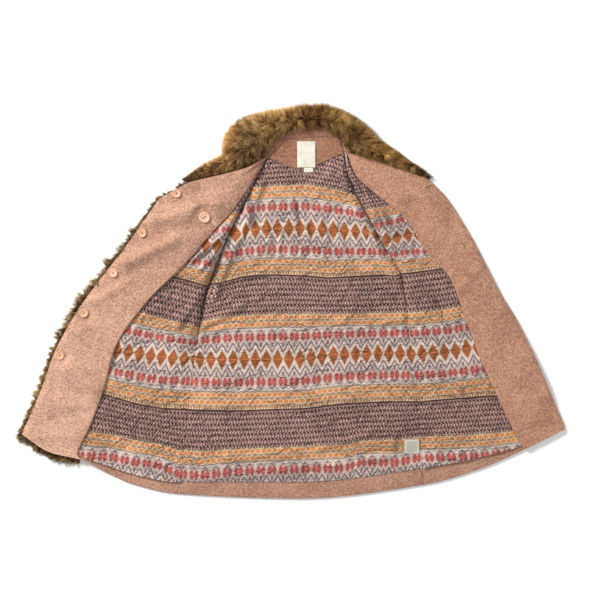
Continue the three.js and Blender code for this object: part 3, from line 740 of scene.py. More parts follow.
furLook = {
    "stops": (0.10, 0.34, 0.62, 0.92),
    "cool": ((40, 27, 15), (104, 78, 48), (172, 142, 96), (230, 206, 160)),
    "gold": ((54, 32, 12), (138, 92, 40), (206, 156, 84), (242, 208, 140)),
}


# Hairs carry how far along they are, a shade of their own, and the tone and warmth of their skin.
def furMaterial(name, dim=1.0):
    material, tree, shader = newMaterial(name, {
        "Roughness": 0.6, "Specular IOR Level": 0.18, "Sheen Weight": 0.03,
    })
    along, tone, warm, own = (
        tree.node("ShaderNodeAttribute", {"attribute_name": key}, None, 2)
        for key in ("along", "tone", "warm", "own"))
    shade = along * 0.5 + tone * 0.5 + own * 0.84 - 0.47
    cool, gold = (
        tree.ramp(shade, [(stop, tuple(c * dim for c in colour))
                          for stop, colour in zip(furLook["stops"], furLook[key])])
        for key in ("cool", "gold"))
    feed(tree, shader, "Base Color", tree.mix(warm, cool, gold))
    return material


materials = {
    "wool": woolMaterial("wool"),
    # Copies of the wool with painted light and shade: the right facing paler towards the hem as painted
    # light, the left facing, hems and neck darker as painted shade.
    "woolRightPaintedLight": woolMaterial("woolRightPaintedLight", (0.97, 0.97, 0.98), 0.16),
    "woolLeftPaintedShade": woolMaterial("woolLeftPaintedShade", (0.925, 0.88, 0.855)),
    "woolHemPaintedShade": woolMaterial("woolHemPaintedShade", (0.88, 0.85, 0.85)),
    "woolNeckPaintedShade": woolMaterial("woolNeckPaintedShade", (0.79, 0.72, 0.67)),
    "lining": printMaterial(),
    "collarFur": furMaterial("collarFur"),
    "placketFur": furMaterial("placketFur", 0.86),
    "button": plainMaterial("buttonHorn", (232, 190, 160), (216, 170, 140), {
        "Roughness": 0.38, "Specular IOR Level": 0.5, "Coat Weight": 0.15}, 120, 0.05),
    "smallButton": plainMaterial("smallButtonHorn", (220, 174, 142), (200, 154, 122), {
        "Roughness": 0.45, "Specular IOR Level": 0.4}, 120, 0.05),
    "thread": plainMaterial("thread", (50, 32, 24), (26, 16, 12), {"Roughness": 0.8}),
    "stitch": plainMaterial("stitch", (222, 172, 144), (186, 138, 112), {"Roughness": 0.8}),
    "labelThread": plainMaterial("labelThread", (226, 222, 204), (196, 192, 172), {"Roughness": 0.8}),
    "label": labelMaterial("labelSatin", 0.97),
    "careLabel": labelMaterial("careLabelSatin", 0.86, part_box("care_label")),
}
print("materials ready")


def addObject(name, mesh, material, smooth=True):
    piece = bpy.data.objects.new(name, mesh)
    scene.collection.objects.link(piece)
    if material:
        mesh.materials.clear()
        mesh.materials.append(material)
    if smooth:
        mesh.polygons.foreach_set("use_smooth", [True] * len(mesh.polygons))
    return piece


def faceOutwards(mesh):
    work = bmesh.new()
    work.from_mesh(mesh)
    bmesh.ops.recalc_face_normals(work, faces=work.faces)
    work.to_mesh(mesh)
    work.free()


def thicken(piece, thickness):
    wall = piece.modifiers.new("wall", "SOLIDIFY")
    wall.thickness = thickness * mm
    wall.offset = -1


def finalMesh(piece):  # a copy of its mesh with its modifiers' work in it
    graph = bpy.context.evaluated_depsgraph_get()
    return bpy.data.meshes.new_from_object(
        piece.evaluated_get(graph), preserve_all_data_layers=True, depsgraph=graph)


def applyModifiers(piece):
    made = finalMesh(piece)
    piece.modifiers.clear()
    piece.data = made


# Places with one more close to each end, so an edge can be rounded.
def edged(places, rim):
    inner = np.sort(places)
    return np.array([inner[0], inner[0] + rim, *inner[1:-1], inner[-1] - rim, inner[-1]])


def tubeQuads(rows, around):
    number = np.arange(rows * around).reshape(rows, around)
    nextOne = np.roll(number, -1, 1)
    return np.stack([number[:-1], nextOne[:-1], nextOne[1:], number[1:]], -1).reshape(-1, 4)


def meshFrom(name, vertices, quads, uv=None):
    mesh = bpy.data.meshes.new(name)
    mesh.from_pydata([tuple(v) for v in vertices], [], [tuple(int(i) for i in q) for q in quads])
    if uv is not None:
        layer = mesh.uv_layers.new(name="print")
        index = np.zeros(len(mesh.loops), np.int32)
        mesh.loops.foreach_get("vertex_index", index)
        layer.data.foreach_set("uv", np.asarray(uv, float)[index].ravel())
    mesh.validate()
    mesh.update()
    return mesh


# A closed cloth wall between a lower and an upper surface over one grid of points.
def clothMesh(name, xy, low, wall, uv=None, lift=0, edge=0.62):
    rows, columns = xy.shape[:2]
    low = np.broadcast_to(low, (rows, columns))
    high = low + wall + lift
    ring = np.zeros((rows, columns), bool)
    ring[0], ring[-1], ring[:, 0], ring[:, -1] = True, True, True, True
    high = np.where(ring, low + wall * edge, high)
    low = np.where(ring, low + wall * 0.3, low)
    top = np.dstack([xy, high]).reshape(-1, 3)
    under = np.dstack([xy, low]).reshape(-1, 3)
    number = np.arange(rows * columns).reshape(rows, columns)
    a, b = number[:-1, :-1].ravel(), number[1:, :-1].ravel()
    c, d = number[1:, 1:].ravel(), number[:-1, 1:].ravel()
    rim = np.concatenate([number[0, :-1], number[:-1, -1], number[-1, :0:-1], number[:0:-1, 0]])
    after = np.roll(rim, -1)
    below = rows * columns
    quads = np.concatenate([
        np.stack([a, b, c, d], 1),
        np.stack([a, d, c, b], 1) + below,
        np.stack([rim, after, after + below, rim + below], 1),
    ])
    p, q, r = top[a[0]], top[b[0]], top[c[0]]
    if np.cross(q - p, r - p)[2] < 0:
        quads = quads[:, ::-1]
    if uv is not None:
        uv = np.concatenate([uv.reshape(-1, 2)] * 2)
    return meshFrom(name, np.concatenate([top, under]) * mm, quads, uv)


def drawnIn(xy, gap=cloth["seamGap"]):  # a seam's half gap off every side
    moved = xy.copy()
    for edge, inward in (((0,), (1,)), ((-1,), (-2,))):
        for axis in (0, 1):
            here = edge if axis == 0 else (slice(None), edge[0])
            there = inward if axis == 0 else (slice(None), inward[0])
            step = xy[there] - xy[here]
            size = np.linalg.norm(step, axis=-1, keepdims=True)
            moved[here] += step / np.maximum(size, 1e-9) * gap / 2
    return moved


def flatSize(xy):  # width, length and area of a cut piece, in metres
    ring = np.concatenate([xy[0], xy[1:, -1], xy[-1, -2::-1], xy[-2:0:-1, 0]]) * mm
    x, y = ring.T
    area = abs(np.sum(x * np.roll(y, -1) - y * np.roll(x, -1))) / 2
    turned = [(np.ptp(x * math.cos(a) + y * math.sin(a)), np.ptp(y * math.cos(a) - x * math.sin(a)))
              for a in np.linspace(0, math.pi / 2, 46)]
    width, length = min(turned, key=lambda pair: pair[0] * pair[1])
    return (round(float(width), 4), round(float(length), 4)), round(float(area) * 0.999, 6)


cutList = {}


def finishPiece(piece, slot, *nodes):  # nodes of the frame that it stands for
    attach(piece, "root")
    if nodes:
        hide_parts(*nodes)


def finishSheet(piece, size, area, slot, restsOn, *nodes):
    cutList[piece.name] = (size, area)
    finishPiece(piece, slot, *nodes)


def finishCloth(piece, xy, slot, restsOn, *nodes):
    finishSheet(piece, *flatSize(xy), slot, restsOn, *nodes)
    return piece


def woolCloth(name, xy, low, tint, restsOn, node, lift=0, edge=0.62):
    mesh = clothMesh(name, xy, low, cloth["wool"], lift=lift, edge=edge)
    return finishCloth(addObject(name, mesh, materials[tint]), xy, "wool", [restsOn], node)


def gridPlaces(first, last, count, rim=0.006):
    return edged(np.linspace(first, last, count), rim)


# Back, neck facing and turned-up hem.
backLook = {"across": 60, "down": 90, "hemRows": 12, "facingRows": 24}


def makeBack():
    across = gridPlaces(2, 4, backLook["across"])
    down = gridPlaces(0, cloth["hemEnd"], backLook["down"], 0.02)
    xy = drawnIn(layout(across, down, True))
    woolCloth("coat_back", xy, 0, "wool", "floor", "back")

    down = gridPlaces(cloth["hemTop"], cloth["hemEnd"], backLook["hemRows"], 0.03)
    xy = drawnIn(layout(across, down, True))
    low = overWool + unevenness(xy, height=0.5, wave=60, seed=3)
    # The hem's wool is darker as painted shade.
    woolCloth("back_hem", xy, low, "woolHemPaintedShade", "coat_back", "back_hem_turn_up")

    down = gridPlaces(0, 1, backLook["facingRows"], 0.02)
    xy = drawnIn(layout(across, down, True))
    low = overWool + unevenness(xy, height=1.5, wave=50, seed=5) * calm(xy)
    # The neck facing's wool is darker as painted shade.
    woolCloth("neck_facing", xy, low, "woolNeckPaintedShade", "coat_back", "back_neck_facing", edge=0.9)


# Fronts, their facings, turned-up hems and sleeves.
frontLook = {"across": 64, "down": 110, "facingAcross": 36, "facingDown": 170, "hemAcross": 40,
             "rise": 3}


def sidePlaces(side):  # the places across of a front's edge, its facing's edge and its side seam
    return {"right": (0, 1, 2), "left": (6, 5, 4)}[side]


def makeFront(side):
    edge, facing, seam = sidePlaces(side)
    front = f"{side}_front_wool"
    across = gridPlaces(min(edge, seam), max(edge, seam), frontLook["across"])
    down = gridPlaces(0, cloth["hemEnd"], frontLook["down"], 0.02)
    low = underFront(side, across, down)
    woolCloth(front, drawnIn(layout(across, down)), low, "wool", f"{side}_sleeve_wool", f"{side}_front")

    across = gridPlaces(min(edge, facing), max(edge, facing), frontLook["facingAcross"], 0.01)
    down = gridPlaces(0, cloth["hemEnd"], frontLook["facingDown"], 0.015)
    flat = layout(across, down)
    ease = smoothStep(0, 0.1, np.abs(across - edge))[None, :]
    wave = unevenness(flat, height=3.0, wave=140, seed=7)
    lift = (frontLook["rise"] + foldHeight(woolCreases, flat) + wave) * ease * calm(flat)
    low = underFront(side, across, down) + overWool
    # The right facing's wool has painted light, the left facing's painted shade.
    tint = "woolRightPaintedLight" if side == "right" else "woolLeftPaintedShade"
    node = f"{side}_front_facing"
    facingPiece = woolCloth(f"{side}_facing", drawnIn(flat), low, tint, front, node, lift)

    across = gridPlaces(min(facing, seam), max(facing, seam), frontLook["hemAcross"], 0.01)
    down = gridPlaces(cloth["hemTop"], cloth["hemEnd"], backLook["hemRows"], 0.03)
    low = underFront(side, across, down) + overWool
    xy = drawnIn(layout(across, down))
    # The hem's wool is darker as painted shade.
    woolCloth(f"{side}_hem", xy, low, "woolHemPaintedShade", front, f"{side}_front_hem_turn_up")
    return facingPiece


def makeSleeve(side):  # a flattened tube, open at the mouth and at the cuff
    around = sleeves["around"]
    angle = np.linspace(0, math.tau, around, endpoint=False)
    t = 0.5 - 0.5 * np.sign(np.cos(angle)) * np.abs(np.cos(angle)) ** 0.7
    z = sleeves["thick"] / 2 * (1 + np.sign(np.sin(angle)) * np.abs(np.sin(angle)) ** 0.35)
    rings = np.array([
        np.column_stack([sleevePoint(side, along, np.clip(t, 0, 1)), z])
        for along in np.linspace(0, 1, sleeves["rings"])])
    name = f"{side}_sleeve_wool"
    mesh = meshFrom(name, rings.reshape(-1, 3) * mm, tubeQuads(len(rings), around))
    faceOutwards(mesh)
    outside = sum(p.area for p in mesh.polygons)
    piece = addObject(name, mesh, materials["wool"])
    thicken(piece, cloth["wool"])
    applyModifiers(piece)
    steps = np.linalg.norm(np.roll(rings, -1, 1) - rings, axis=-1).sum(1)
    run = np.linalg.norm(np.diff(rings, axis=0), axis=-1).sum(0)
    size = (round(float(steps.max()) * mm, 4), round(float(run.max()) * mm, 4))
    area = round(min(size[0] * size[1], outside), 5)
    finishSheet(piece, size, area, "wool", ["floor"], f"{side}_sleeve")


makeBack()
facings = {side: makeFront(side) for side in ("right", "left")}
for sideName in ("right", "left"):
    makeSleeve(sideName)
print("wool ready")


# Where the print's bands lie on each lining panel, which its own grain turns: place in the repeat,
# then points x, y.
printBands = {
    "back": {"turn": 0, "offset": 20, "lines": [
        (-0.283, [(-255, -331), (-205, -334), (-90, -328), (32, -324), (124, -318), (157, -310),
                  (240, -309), (290, -303)]),
        (0, [(-235, -242), (-123, -245), (32, -240), (108, -230), (207, -225), (290, -225)]),
        (0.365, [(-222, -131), (-182, -133), (16, -132), (98, -122), (200, -119), (306, -118)]),
        (0.717, [(-222, -44), (-189, -42), (-140, -32), (-90, -29), (-24, -26), (108, -27),
                 (207, -25), (290, -22)]),
        (1.0, [(-191, 36), (-170, 43), (-140, 47), (-110, 55), (-79, 59), (-34, 60), (32, 58),
               (84, 53), (130, 56), (220, 60)]),
        (1.365, [(-134, 153), (-94, 157), (-64, 161), (32, 162), (106, 157), (178, 154)]),
        (1.717, [(-88, 258), (-50, 260), (32, 264), (93, 254), (124, 246)]),
    ]},
    "right": {"turn": -11, "offset": -240, "lines": [
        (-0.283, [(-450, -290), (-403, -297), (-347, -311), (-301, -318), (-255, -331)]),
        (0, [(-423, -206), (-387, -217), (-337, -232), (-288, -240), (-235, -242)]),
        (0.365, [(-390, -113), (-354, -117), (-301, -125), (-251, -129), (-222, -131)]),
        (0.717, [(-337, -24), (-288, -37), (-248, -47)]),
        (1.0, [(-274, 58), (-245, 52), (-212, 42), (-191, 36)]),
        (1.365, [(-216, 124), (-160, 124)]),
        (1.717, [(-150, 196), (-120, 200)]),
    ]},
    "left": {"turn": 7, "offset": 280, "lines": [
        (-0.283, [(290, -303), (355, -300), (405, -297), (471, -292)]),
        (0, [(290, -225), (339, -220), (389, -216), (438, -212), (466, -212)]),
        (0.365, [(306, -118), (359, -115), (398, -108)]),
        (0.717, [(290, -22), (339, -17), (382, -9)]),
        (1.0, [(220, 60), (265, 64), (310, 70), (349, 75)]),
        (1.365, [(214, 135), (238, 140), (259, 147), (277, 147)]),
        (1.717, [(190, 210), (220, 216)]),
    ]},
}


def printPlaces(panel, xy):
    x, y = xy[..., 0], xy[..., 1]
    lines = printBands[panel]["lines"]
    places = np.array([place for place, _ in lines])
    heights = []
    for _, points in lines:
        px, py = np.array(points, float).T
        firstSlope, lastSlope = (py[1] - py[0]) / (px[1] - px[0]), (py[-1] - py[-2]) / (px[-1] - px[-2])
        high = np.interp(x, px, py)
        high = high + np.minimum(0, x - px[0]) * firstSlope + np.maximum(0, x - px[-1]) * lastSlope
        heights.append(high)
    heights = np.array(heights)
    v = places[0] + (y - heights[0]) * (places[1] - places[0]) / (heights[1] - heights[0])
    for k in range(1, len(places) - 1):
        slope = (places[k + 1] - places[k]) / (heights[k + 1] - heights[k])
        v = np.where(y > heights[k], places[k] + (y - heights[k]) * slope, v)
    last = printLook["lastBand"]
    v = np.where(v > last, np.maximum(2 * last - v, printLook["backTo"]), v)  # plum up to the neck
    turn = math.radians(printBands[panel]["turn"])
    run = (x - printBands[panel]["offset"]) * math.cos(turn) + y * math.sin(turn)
    return np.dstack([run / printLook["motif"], v])


liningLook = {
    "across": 130, "down": 190, "frontAcross": 60, "frontDown": 170,
    "drawnIn": 0.04, "edge": 0.96, "least": 0.3, "highest": 27, "atSeam": 3.4,
    "back": {"creases": liningCreases, "deep": 2.9, "rise": 4.4, "wave": 3.8, "seed": 11},
    "front": {"creases": frontLiningCreases, "deep": 2.7, "rise": 1.6, "wave": 3.4, "seed": 13},
}


# Small creases over the wool, never into it, with a groove along the upper seam and none below.
def puckers(panel, flat, down, offSeam):
    look = liningLook[panel]
    high = foldHeight(look["creases"], flat) * look["deep"] + look["rise"]
    high = high + unevenness(flat, height=look["wave"], wave=55, seed=look["seed"])
    atSeam = liningLook["atSeam"] * smoothStep(5, 7, down)[:, None]
    return np.maximum(high, liningLook["least"]) * offSeam + atSeam * (1 - offSeam)


def makeBackLining():
    across = gridPlaces(2, 4, liningLook["across"])
    down = gridPlaces(1, cloth["liningEnd"], liningLook["down"], 0.015)
    flat = layout(across, down, True)
    fromSeam = np.minimum(across - 2, 4 - across)[None, :]
    ends = smoothStep(1, 1.3, down) * (1 - smoothStep(9, 9.6, down))
    ease = smoothStep(0, 0.12, fromSeam) * ends[:, None]
    rim = (smoothStep(1, 1.1, down) * (1 - smoothStep(9.9, 10, down)))[:, None]
    low = overWool + hemLap(down)[:, None] + foldHeight(liningFolds, flat) * ease
    low = low + puckers("back", flat, down, smoothStep(0, 0.05, fromSeam)) * rim * calm(flat)
    xy = drawnIn(flat, liningLook["drawnIn"]) + foldLean(liningFolds, flat) * ease[..., None]
    liningCloth("lining_back", xy, low, printPlaces("back", flat), drawnIn(flat), "coat_back", "back_lining")


def makeFrontLining(side):
    _, facing, seam = sidePlaces(side)
    across = gridPlaces(min(facing, seam), max(facing, seam), liningLook["frontAcross"], 0.01)
    down = gridPlaces(0, cloth["liningEnd"], liningLook["frontDown"], 0.015)
    flat = layout(across, down)
    fromFacing = np.abs(across - facing)[None, :]
    offFacing, offSeam = smoothStep(0, 0.2, fromFacing), smoothStep(0, 0.25, 1 - fromFacing)
    low = underFront(side, across, down) + overWool + hemLap(down)[:, None]
    low = low + 0.5 * (1 - offFacing) + foldHeight(frontLiningFolds, flat) * offSeam * offFacing
    near = smoothStep(0, 0.12, fromFacing) * calm(flat)
    low = low + puckers("front", flat, down, offSeam) * offFacing * near
    low = low + seamRoll(side, flat, down, -1 if side == "right" else 0) * near
    low = low - np.maximum(0, low - liningLook["highest"]) * 0.5  # no fold stands too high
    xy = drawnIn(flat, liningLook["drawnIn"])
    name, rests, node = f"lining_{side}_front", f"{side}_front_wool", f"{side}_front_lining"
    liningCloth(name, xy, low, printPlaces(side, flat), xy, rests, node)


def liningCloth(name, xy, low, places, cut, restsOn, node):
    mesh = clothMesh(name, xy, low, cloth["lining"], places, edge=liningLook["edge"])
    finishCloth(addObject(name, mesh, materials["lining"]), cut, "lining", [restsOn], node)


makeBackLining()
for sideName in ("right", "left"):
    makeFrontLining(sideName)
print("lining ready")


# The collar: place on the neck seam, width of stand that shows, fur's outer edge, pile.
collarSections = np.array([
    [0.0, 0, -248, 274, 8], [0.3, 0, -196, 313, 14], [0.55, 0, -155, 338, 16],
    [0.7, 0, -157, 358, 20], [0.85, 2, -144, 389, 22], [1.0, 6, -105, 419, 22],
    [1.5, 15, -65, 429, 22], [2.0, 13, -20, 436, 22], [2.33, 21, 22, 442, 22],
    [2.66, 20, 70, 444, 22], [2.83, 12, 117, 432, 22], [3.0, 4, 150, 414, 21],
    [3.5, 2, 170, 401, 21], [4.0, 3, 184, 389, 20], [4.15, 0, 209, 362, 18],
    [4.35, 0, 241, 341, 16], [4.6, 0, 270, 318, 14], [4.85, 0, 297, 297, 10],
    [5.0, 0, 314, 279, 6],
], float)
collarLook = {
    "along": 150, "across": 26, "underAcross": 24, "underReach": 0.92, "standAcross": 8,
    "leastStand": 3.5, "standStart": 0.1, "standUnder": 5, "standRise": 3, "skin": 3,
    "density": 560000, "length": 25, "hairWidth": 1.3, "lift": 0.34, "lean": 0.9, "lock": 0.62,
    "scatter": 0.2, "gather": 0.45, "lockSize": 92.0, "seed": 4,
}


def neckLines():
    right, left = (layout(np.linspace(first, first + 2, 25), 0)[0] for first in (0, 4))
    back = layout(np.linspace(2, 4, 17), 0, True)[0]
    return [right, np.array([right[-1], back[0]]), back, np.array([back[-1], left[0]]), left]


neckStretches = neckLines()


def neckPoint(along):
    held = min(max(along, 0), len(neckStretches))
    i = min(int(held), len(neckStretches) - 1)
    line = neckStretches[i]
    run = np.concatenate([[0], np.cumsum(np.hypot(*np.diff(line, axis=0).T))])
    at = (held - i) * run[-1]
    return np.array([np.interp(at, run, line[:, axis]) for axis in (0, 1)])


# A profile goes from the seam outwards, starting a little away from it.
def collarRows(places, profile, start):
    rows = []
    for place in places:
        along, stand, outerX, outerY, pile = smoothThrough(
            np.arange(len(collarSections)), collarSections, [place])[0]
        tangent = neckPoint(along + 0.08) - neckPoint(along - 0.08)
        up = np.array([-tangent[1], tangent[0]]) / np.hypot(*tangent)
        seam = neckPoint(along)
        rows.append(profile(seam, up, start, stand, np.array([outerX, outerY]), pile))
    return np.array(rows)


def underCollarProfile(seam, up, start, stand, outer, pile):
    inner = seam + up * start
    shares = np.linspace(0, collarLook["underReach"], collarLook["underAcross"])
    return [[*(inner + (outer - inner) * share)] for share in shares]


def standProfile(seam, up, start, stand, outer, pile):  # it goes on a little under the fur
    far = stand + collarLook["standUnder"]
    return [[*(seam + up * d)] for d in np.linspace(start, far, collarLook["standAcross"])]


# The skin's height from the collar's seam, 0, to its outer edge, 1.
furShape = np.array([[0, 0.45], [0.1, 0.75], [0.3, 1], [0.55, 1], [0.78, 0.86], [0.93, 0.6], [1, 0.25]])


# The skin under the hair, drawn in from the collar's outline so the hair reaches it.
def furSkinProfile(seam, up, start, stand, outer, pile):
    inner = seam + up * max(stand, start)
    shares = np.linspace(0, 1, collarLook["across"])
    high = smoothThrough(furShape[:, 0], furShape[:, 1], shares)
    width = np.hypot(*(outer - inner))
    inset = min(9, width * 0.22)
    reach = (inset + shares * (width - 2.2 * inset)) / width
    return [[*(inner + (outer - inner) * r), h * pile * 0.66, s, pile] for r, h, s in
            zip(reach, high, shares)]


# Patches of the fur's colour: x, y, radius, tone 0 dark to 1 pale, warmth 0 grey to 1 gold.
furZones = [
    [-235, 278, 26, 0.10, 0.1], [-205, 296, 20, 0.25, 0.4], [-176, 318, 22, 0.75, 0.8],
    [-150, 330, 18, 0.6, 0.8], [-186, 290, 14, 0.5, 0.6], [-160, 300, 16, 0.28, 0.5],
    [-140, 372, 22, 0.72, 0.95], [-128, 396, 18, 0.6, 0.8], [-112, 380, 14, 0.12, 0.8],
    [-108, 398, 12, 0.18, 0.4], [-80, 360, 24, 0.42, 0.2], [-92, 336, 22, 0.36, 0.35],
    [-64, 346, 20, 0.38, 0.2], [-76, 398, 20, 0.55, 0.5], [-50, 416, 22, 0.75, 0.8],
    [-10, 424, 24, 0.85, 0.85], [-30, 396, 14, 0.2, 0.6], [-40, 376, 18, 0.5, 0.6],
    [0, 402, 12, 0.28, 0.6], [6, 388, 12, 0.55, 0.6], [30, 420, 16, 0.35, 0.5],
    [48, 424, 20, 0.12, 1.0], [44, 398, 18, 0.08, 1.0], [78, 426, 18, 0.55, 0.7],
    [70, 402, 14, 0.5, 0.6], [104, 424, 20, 0.85, 0.85], [132, 404, 18, 0.7, 0.7],
    [92, 392, 14, 0.6, 0.6], [108, 376, 18, 0.3, 0.6], [124, 356, 22, 0.25, 0.5],
    [146, 372, 18, 0.4, 0.5], [160, 392, 18, 0.6, 0.8], [178, 376, 20, 0.62, 1.0],
    [150, 346, 18, 0.4, 0.5], [190, 352, 20, 0.5, 0.9], [214, 346, 18, 0.68, 1.0],
    [238, 328, 20, 0.66, 0.95], [222, 320, 14, 0.42, 0.7], [262, 312, 18, 0.5, 0.8],
    [286, 296, 18, 0.3, 0.5], [304, 282, 16, 0.2, 0.3], [128, 332, 14, 0.5, 0.7],
]


def furTones(xy, zones):
    weights, tones, warmths = 1e-6, 0, 0
    for x, y, radius, tone, warm in zones:
        weight = np.exp(-((xy[..., 0] - x) ** 2 + (xy[..., 1] - y) ** 2) / radius**2)
        weights = weights + weight
        tones = tones + weight * tone
        warmths = warmths + weight * warm
    return tones / weights, warmths / weights


def setPointAttribute(mesh, name, values, kind="FLOAT"):
    layer = mesh.attributes.new(name, kind, "POINT")
    field = "vector" if kind == "FLOAT_VECTOR" else "value"
    layer.data.foreach_set(field, np.asarray(values, float).ravel())


# A geometry tree with its inputs, each named with its kind of socket.
def geometryTree(name, inputs):
    group = bpy.data.node_groups.new(name, "GeometryNodeTree")
    for socket, kind in inputs.items():
        group.interface.new_socket(socket, in_out="INPUT", socket_type="NodeSocket" + kind)
    group.interface.new_socket("Made", in_out="OUTPUT", socket_type="NodeSocketGeometry")
    entry, tree = group.nodes.new("NodeGroupInput"), Tree(group)
    return group, tree, {s.name: Wire(tree, s) for s in entry.outputs if s.name}


def finishTree(group, made):
    leave = group.nodes.new("NodeGroupOutput")
    group.links.new(made.socket, leave.inputs[0])
    return group


# No hair goes under the floor, and few stand much above the skin. In millimetres, then a share.
hairLimits = {"lowest": 0.4, "high": 24, "press": 0.62}


# Hairs: tapered strands on a skin, leaning with its comb and gathered in loose locks.
def strandTree(material):
    numbers = ("Density", "Length", "Hair Width", "Lift", "Lean", "Lock", "Scatter", "Gather", "Lock Size")
    group, tree, given = geometryTree("strands", {
        "Skin": "Geometry", **dict.fromkeys(numbers, "Float"), "Seed": "Int"})

    def attribute(name, kind="FLOAT"):
        return tree.node("GeometryNodeInputNamedAttribute", {"data_type": kind}, {"Name": name})

    def vectors(operation, first, second):
        return tree.node("ShaderNodeVectorMath", {"operation": operation}, {0: first, 1: second})

    def scaled(vector, factor):
        return tree.node("ShaderNodeVectorMath", {"operation": "SCALE"}, {0: vector, 3: factor})

    def chance(low, high, offset):
        return tree.node("FunctionNodeRandomValue", {"data_type": "FLOAT"}, {
            2: low, 3: high, 8: given["Seed"] + offset}, 1)

    density = given["Density"] * attribute("cover")
    spread = tree.node("GeometryNodeDistributePointsOnFaces", None, {
        "Mesh": given["Skin"], "Density": density, "Seed": given["Seed"]})
    place = tree.node("GeometryNodeInputPosition")
    cells = tree.node("ShaderNodeTexVoronoi", None, {
        "Vector": scaled(place, given["Lock Size"]), "Scale": 1.0}, 1)
    centre = scaled(cells.output(2), 1 / given["Lock Size"])
    lock = vectors("SUBTRACT", cells, (0.5, 0.5, 0.5))
    streaks = tree.node("ShaderNodeTexVoronoi", None, {
        "Vector": scaled(place, given["Lock Size"] * 2.6), "Scale": 1.0}, 1)
    streak, cell = tree.parts(streaks)[0], tree.parts(cells)[0]
    own = streak * 0.6 + cell * 0.22 + chance(0.0, 0.2, 5) + (0.42 - cells.output(0)) * 0.2
    kept = tree.node("GeometryNodeStoreNamedAttribute", {"data_type": "FLOAT", "domain": "POINT"}, {
        "Geometry": spread, "Name": "own", "Value": own})
    comb = attribute("comb", "FLOAT_VECTOR")
    loose = tree.node("FunctionNodeRandomValue", {"data_type": "FLOAT_VECTOR"}, {
        0: (-1, -1, -1), 1: (1, 1, 1), 8: given["Seed"] + 9})
    heading = vectors("ADD", scaled(spread.output("Normal"), given["Lift"]), scaled(comb, given["Lean"]))
    heading = vectors("ADD", heading, scaled(lock, given["Lock"]))
    heading = vectors("ADD", heading, scaled(loose, given["Scatter"]))
    gather = scaled(vectors("SUBTRACT", centre, place), given["Gather"] / given["Length"])
    heading = vectors("ADD", heading, gather)
    aim = tree.node("FunctionNodeAlignRotationToVector", {"axis": "Z"}, {"Vector": heading})
    aim = tree.node("FunctionNodeAlignRotationToVector", {"axis": "X", "pivot_axis": "Z"}, {
        "Rotation": aim, "Vector": comb})
    cone = tree.node("GeometryNodeMeshCone", {"fill_type": "NONE"}, {
        "Vertices": 3, "Side Segments": 2, "Radius Top": 0.0, "Radius Bottom": 1.0, "Depth": 1.0})
    height = tree.parts(tree.node("GeometryNodeInputPosition"))[2]
    strand = tree.node("GeometryNodeStoreNamedAttribute", {"data_type": "FLOAT", "domain": "POINT"}, {
        "Geometry": cone, "Name": "along", "Value": height})
    long = given["Length"] * attribute("long") * chance(0.6, 1.15, 3)
    size = tree.node("ShaderNodeCombineXYZ", None, {
        0: given["Hair Width"], 1: given["Hair Width"], 2: long})
    hairs = tree.node("GeometryNodeInstanceOnPoints", None, {
        "Points": kept, "Instance": strand, "Rotation": aim, "Scale": size})
    hairs = tree.node("GeometryNodeRealizeInstances", None, {"Geometry": hairs})
    z = tree.parts(tree.node("GeometryNodeInputPosition"))[2]
    above = (z - hairLimits["high"] * mm).most(0.0) * hairLimits["press"]
    rise = (hairLimits["lowest"] * mm - z).most(0.0) - above
    rise = tree.node("ShaderNodeCombineXYZ", None, {2: rise})
    hairs = tree.node("GeometryNodeSetPosition", None, {"Geometry": hairs, "Offset": rise})
    return finishTree(group, tree.node("GeometryNodeSetMaterial", None, {
        "Geometry": hairs, "Material": material}))


# Runs a geometry tree on a source object and keeps the result as a plain mesh.
def grown(source, group, settings, name):
    modifier = source.modifiers.new("grown", "NODES")
    modifier.node_group = group
    for item in group.interface.items_tree:
        if item.item_type == "SOCKET" and item.in_out == "INPUT" and item.name in settings:
            modifier[item.identifier] = settings[item.name]
    mesh = finalMesh(source)
    source.modifiers.remove(modifier)
    mesh.name = name
    piece = addObject(name, mesh, None)
    print(name, len(mesh.polygons), "faces")
    return piece


def skinMesh(name, grid, comb, tone, warm, cover, long):
    rows, columns = grid.shape[:2]
    number = np.arange(rows * columns).reshape(rows, columns)
    quads = np.stack([number[:-1, :-1], number[1:, :-1], number[1:, 1:], number[:-1, 1:]], -1)
    mesh = meshFrom(name, grid.reshape(-1, 3) * mm, quads.reshape(-1, 4))
    if sum(p.normal.z * p.area for p in mesh.polygons) < 0:
        mesh.flip_normals()
    for key, values in (("tone", tone), ("warm", warm), ("cover", cover), ("long", long)):
        setPointAttribute(mesh, key, np.broadcast_to(values, (rows, columns)))
    setPointAttribute(mesh, "along", np.full(rows * columns, 0.0))
    setPointAttribute(mesh, "own", np.full(rows * columns, 0.3))
    setPointAttribute(mesh, "comb", comb, "FLOAT_VECTOR")
    return mesh


# A thick skin and the hair that grows from it.
def growFur(name, mesh, material, look, node):
    skin = addObject(f"{name}_skin", mesh, material)
    source = addObject("hair_source", mesh.copy(), None)
    hair = grown(source, strandTree(material), {
        "Density": look["density"], "Length": look["length"] * mm, "Hair Width": look["hairWidth"] * mm / 2,
        "Lift": look["lift"], "Lean": look["lean"], "Lock": look["lock"], "Scatter": look["scatter"],
        "Gather": look["gather"], "Lock Size": look["lockSize"], "Seed": look["seed"],
    }, f"{name}_fur")
    bpy.data.objects.remove(source)
    thicken(skin, look["skin"])
    applyModifiers(skin)
    finishPiece(skin, "fur", node)
    finishPiece(hair, "fur")


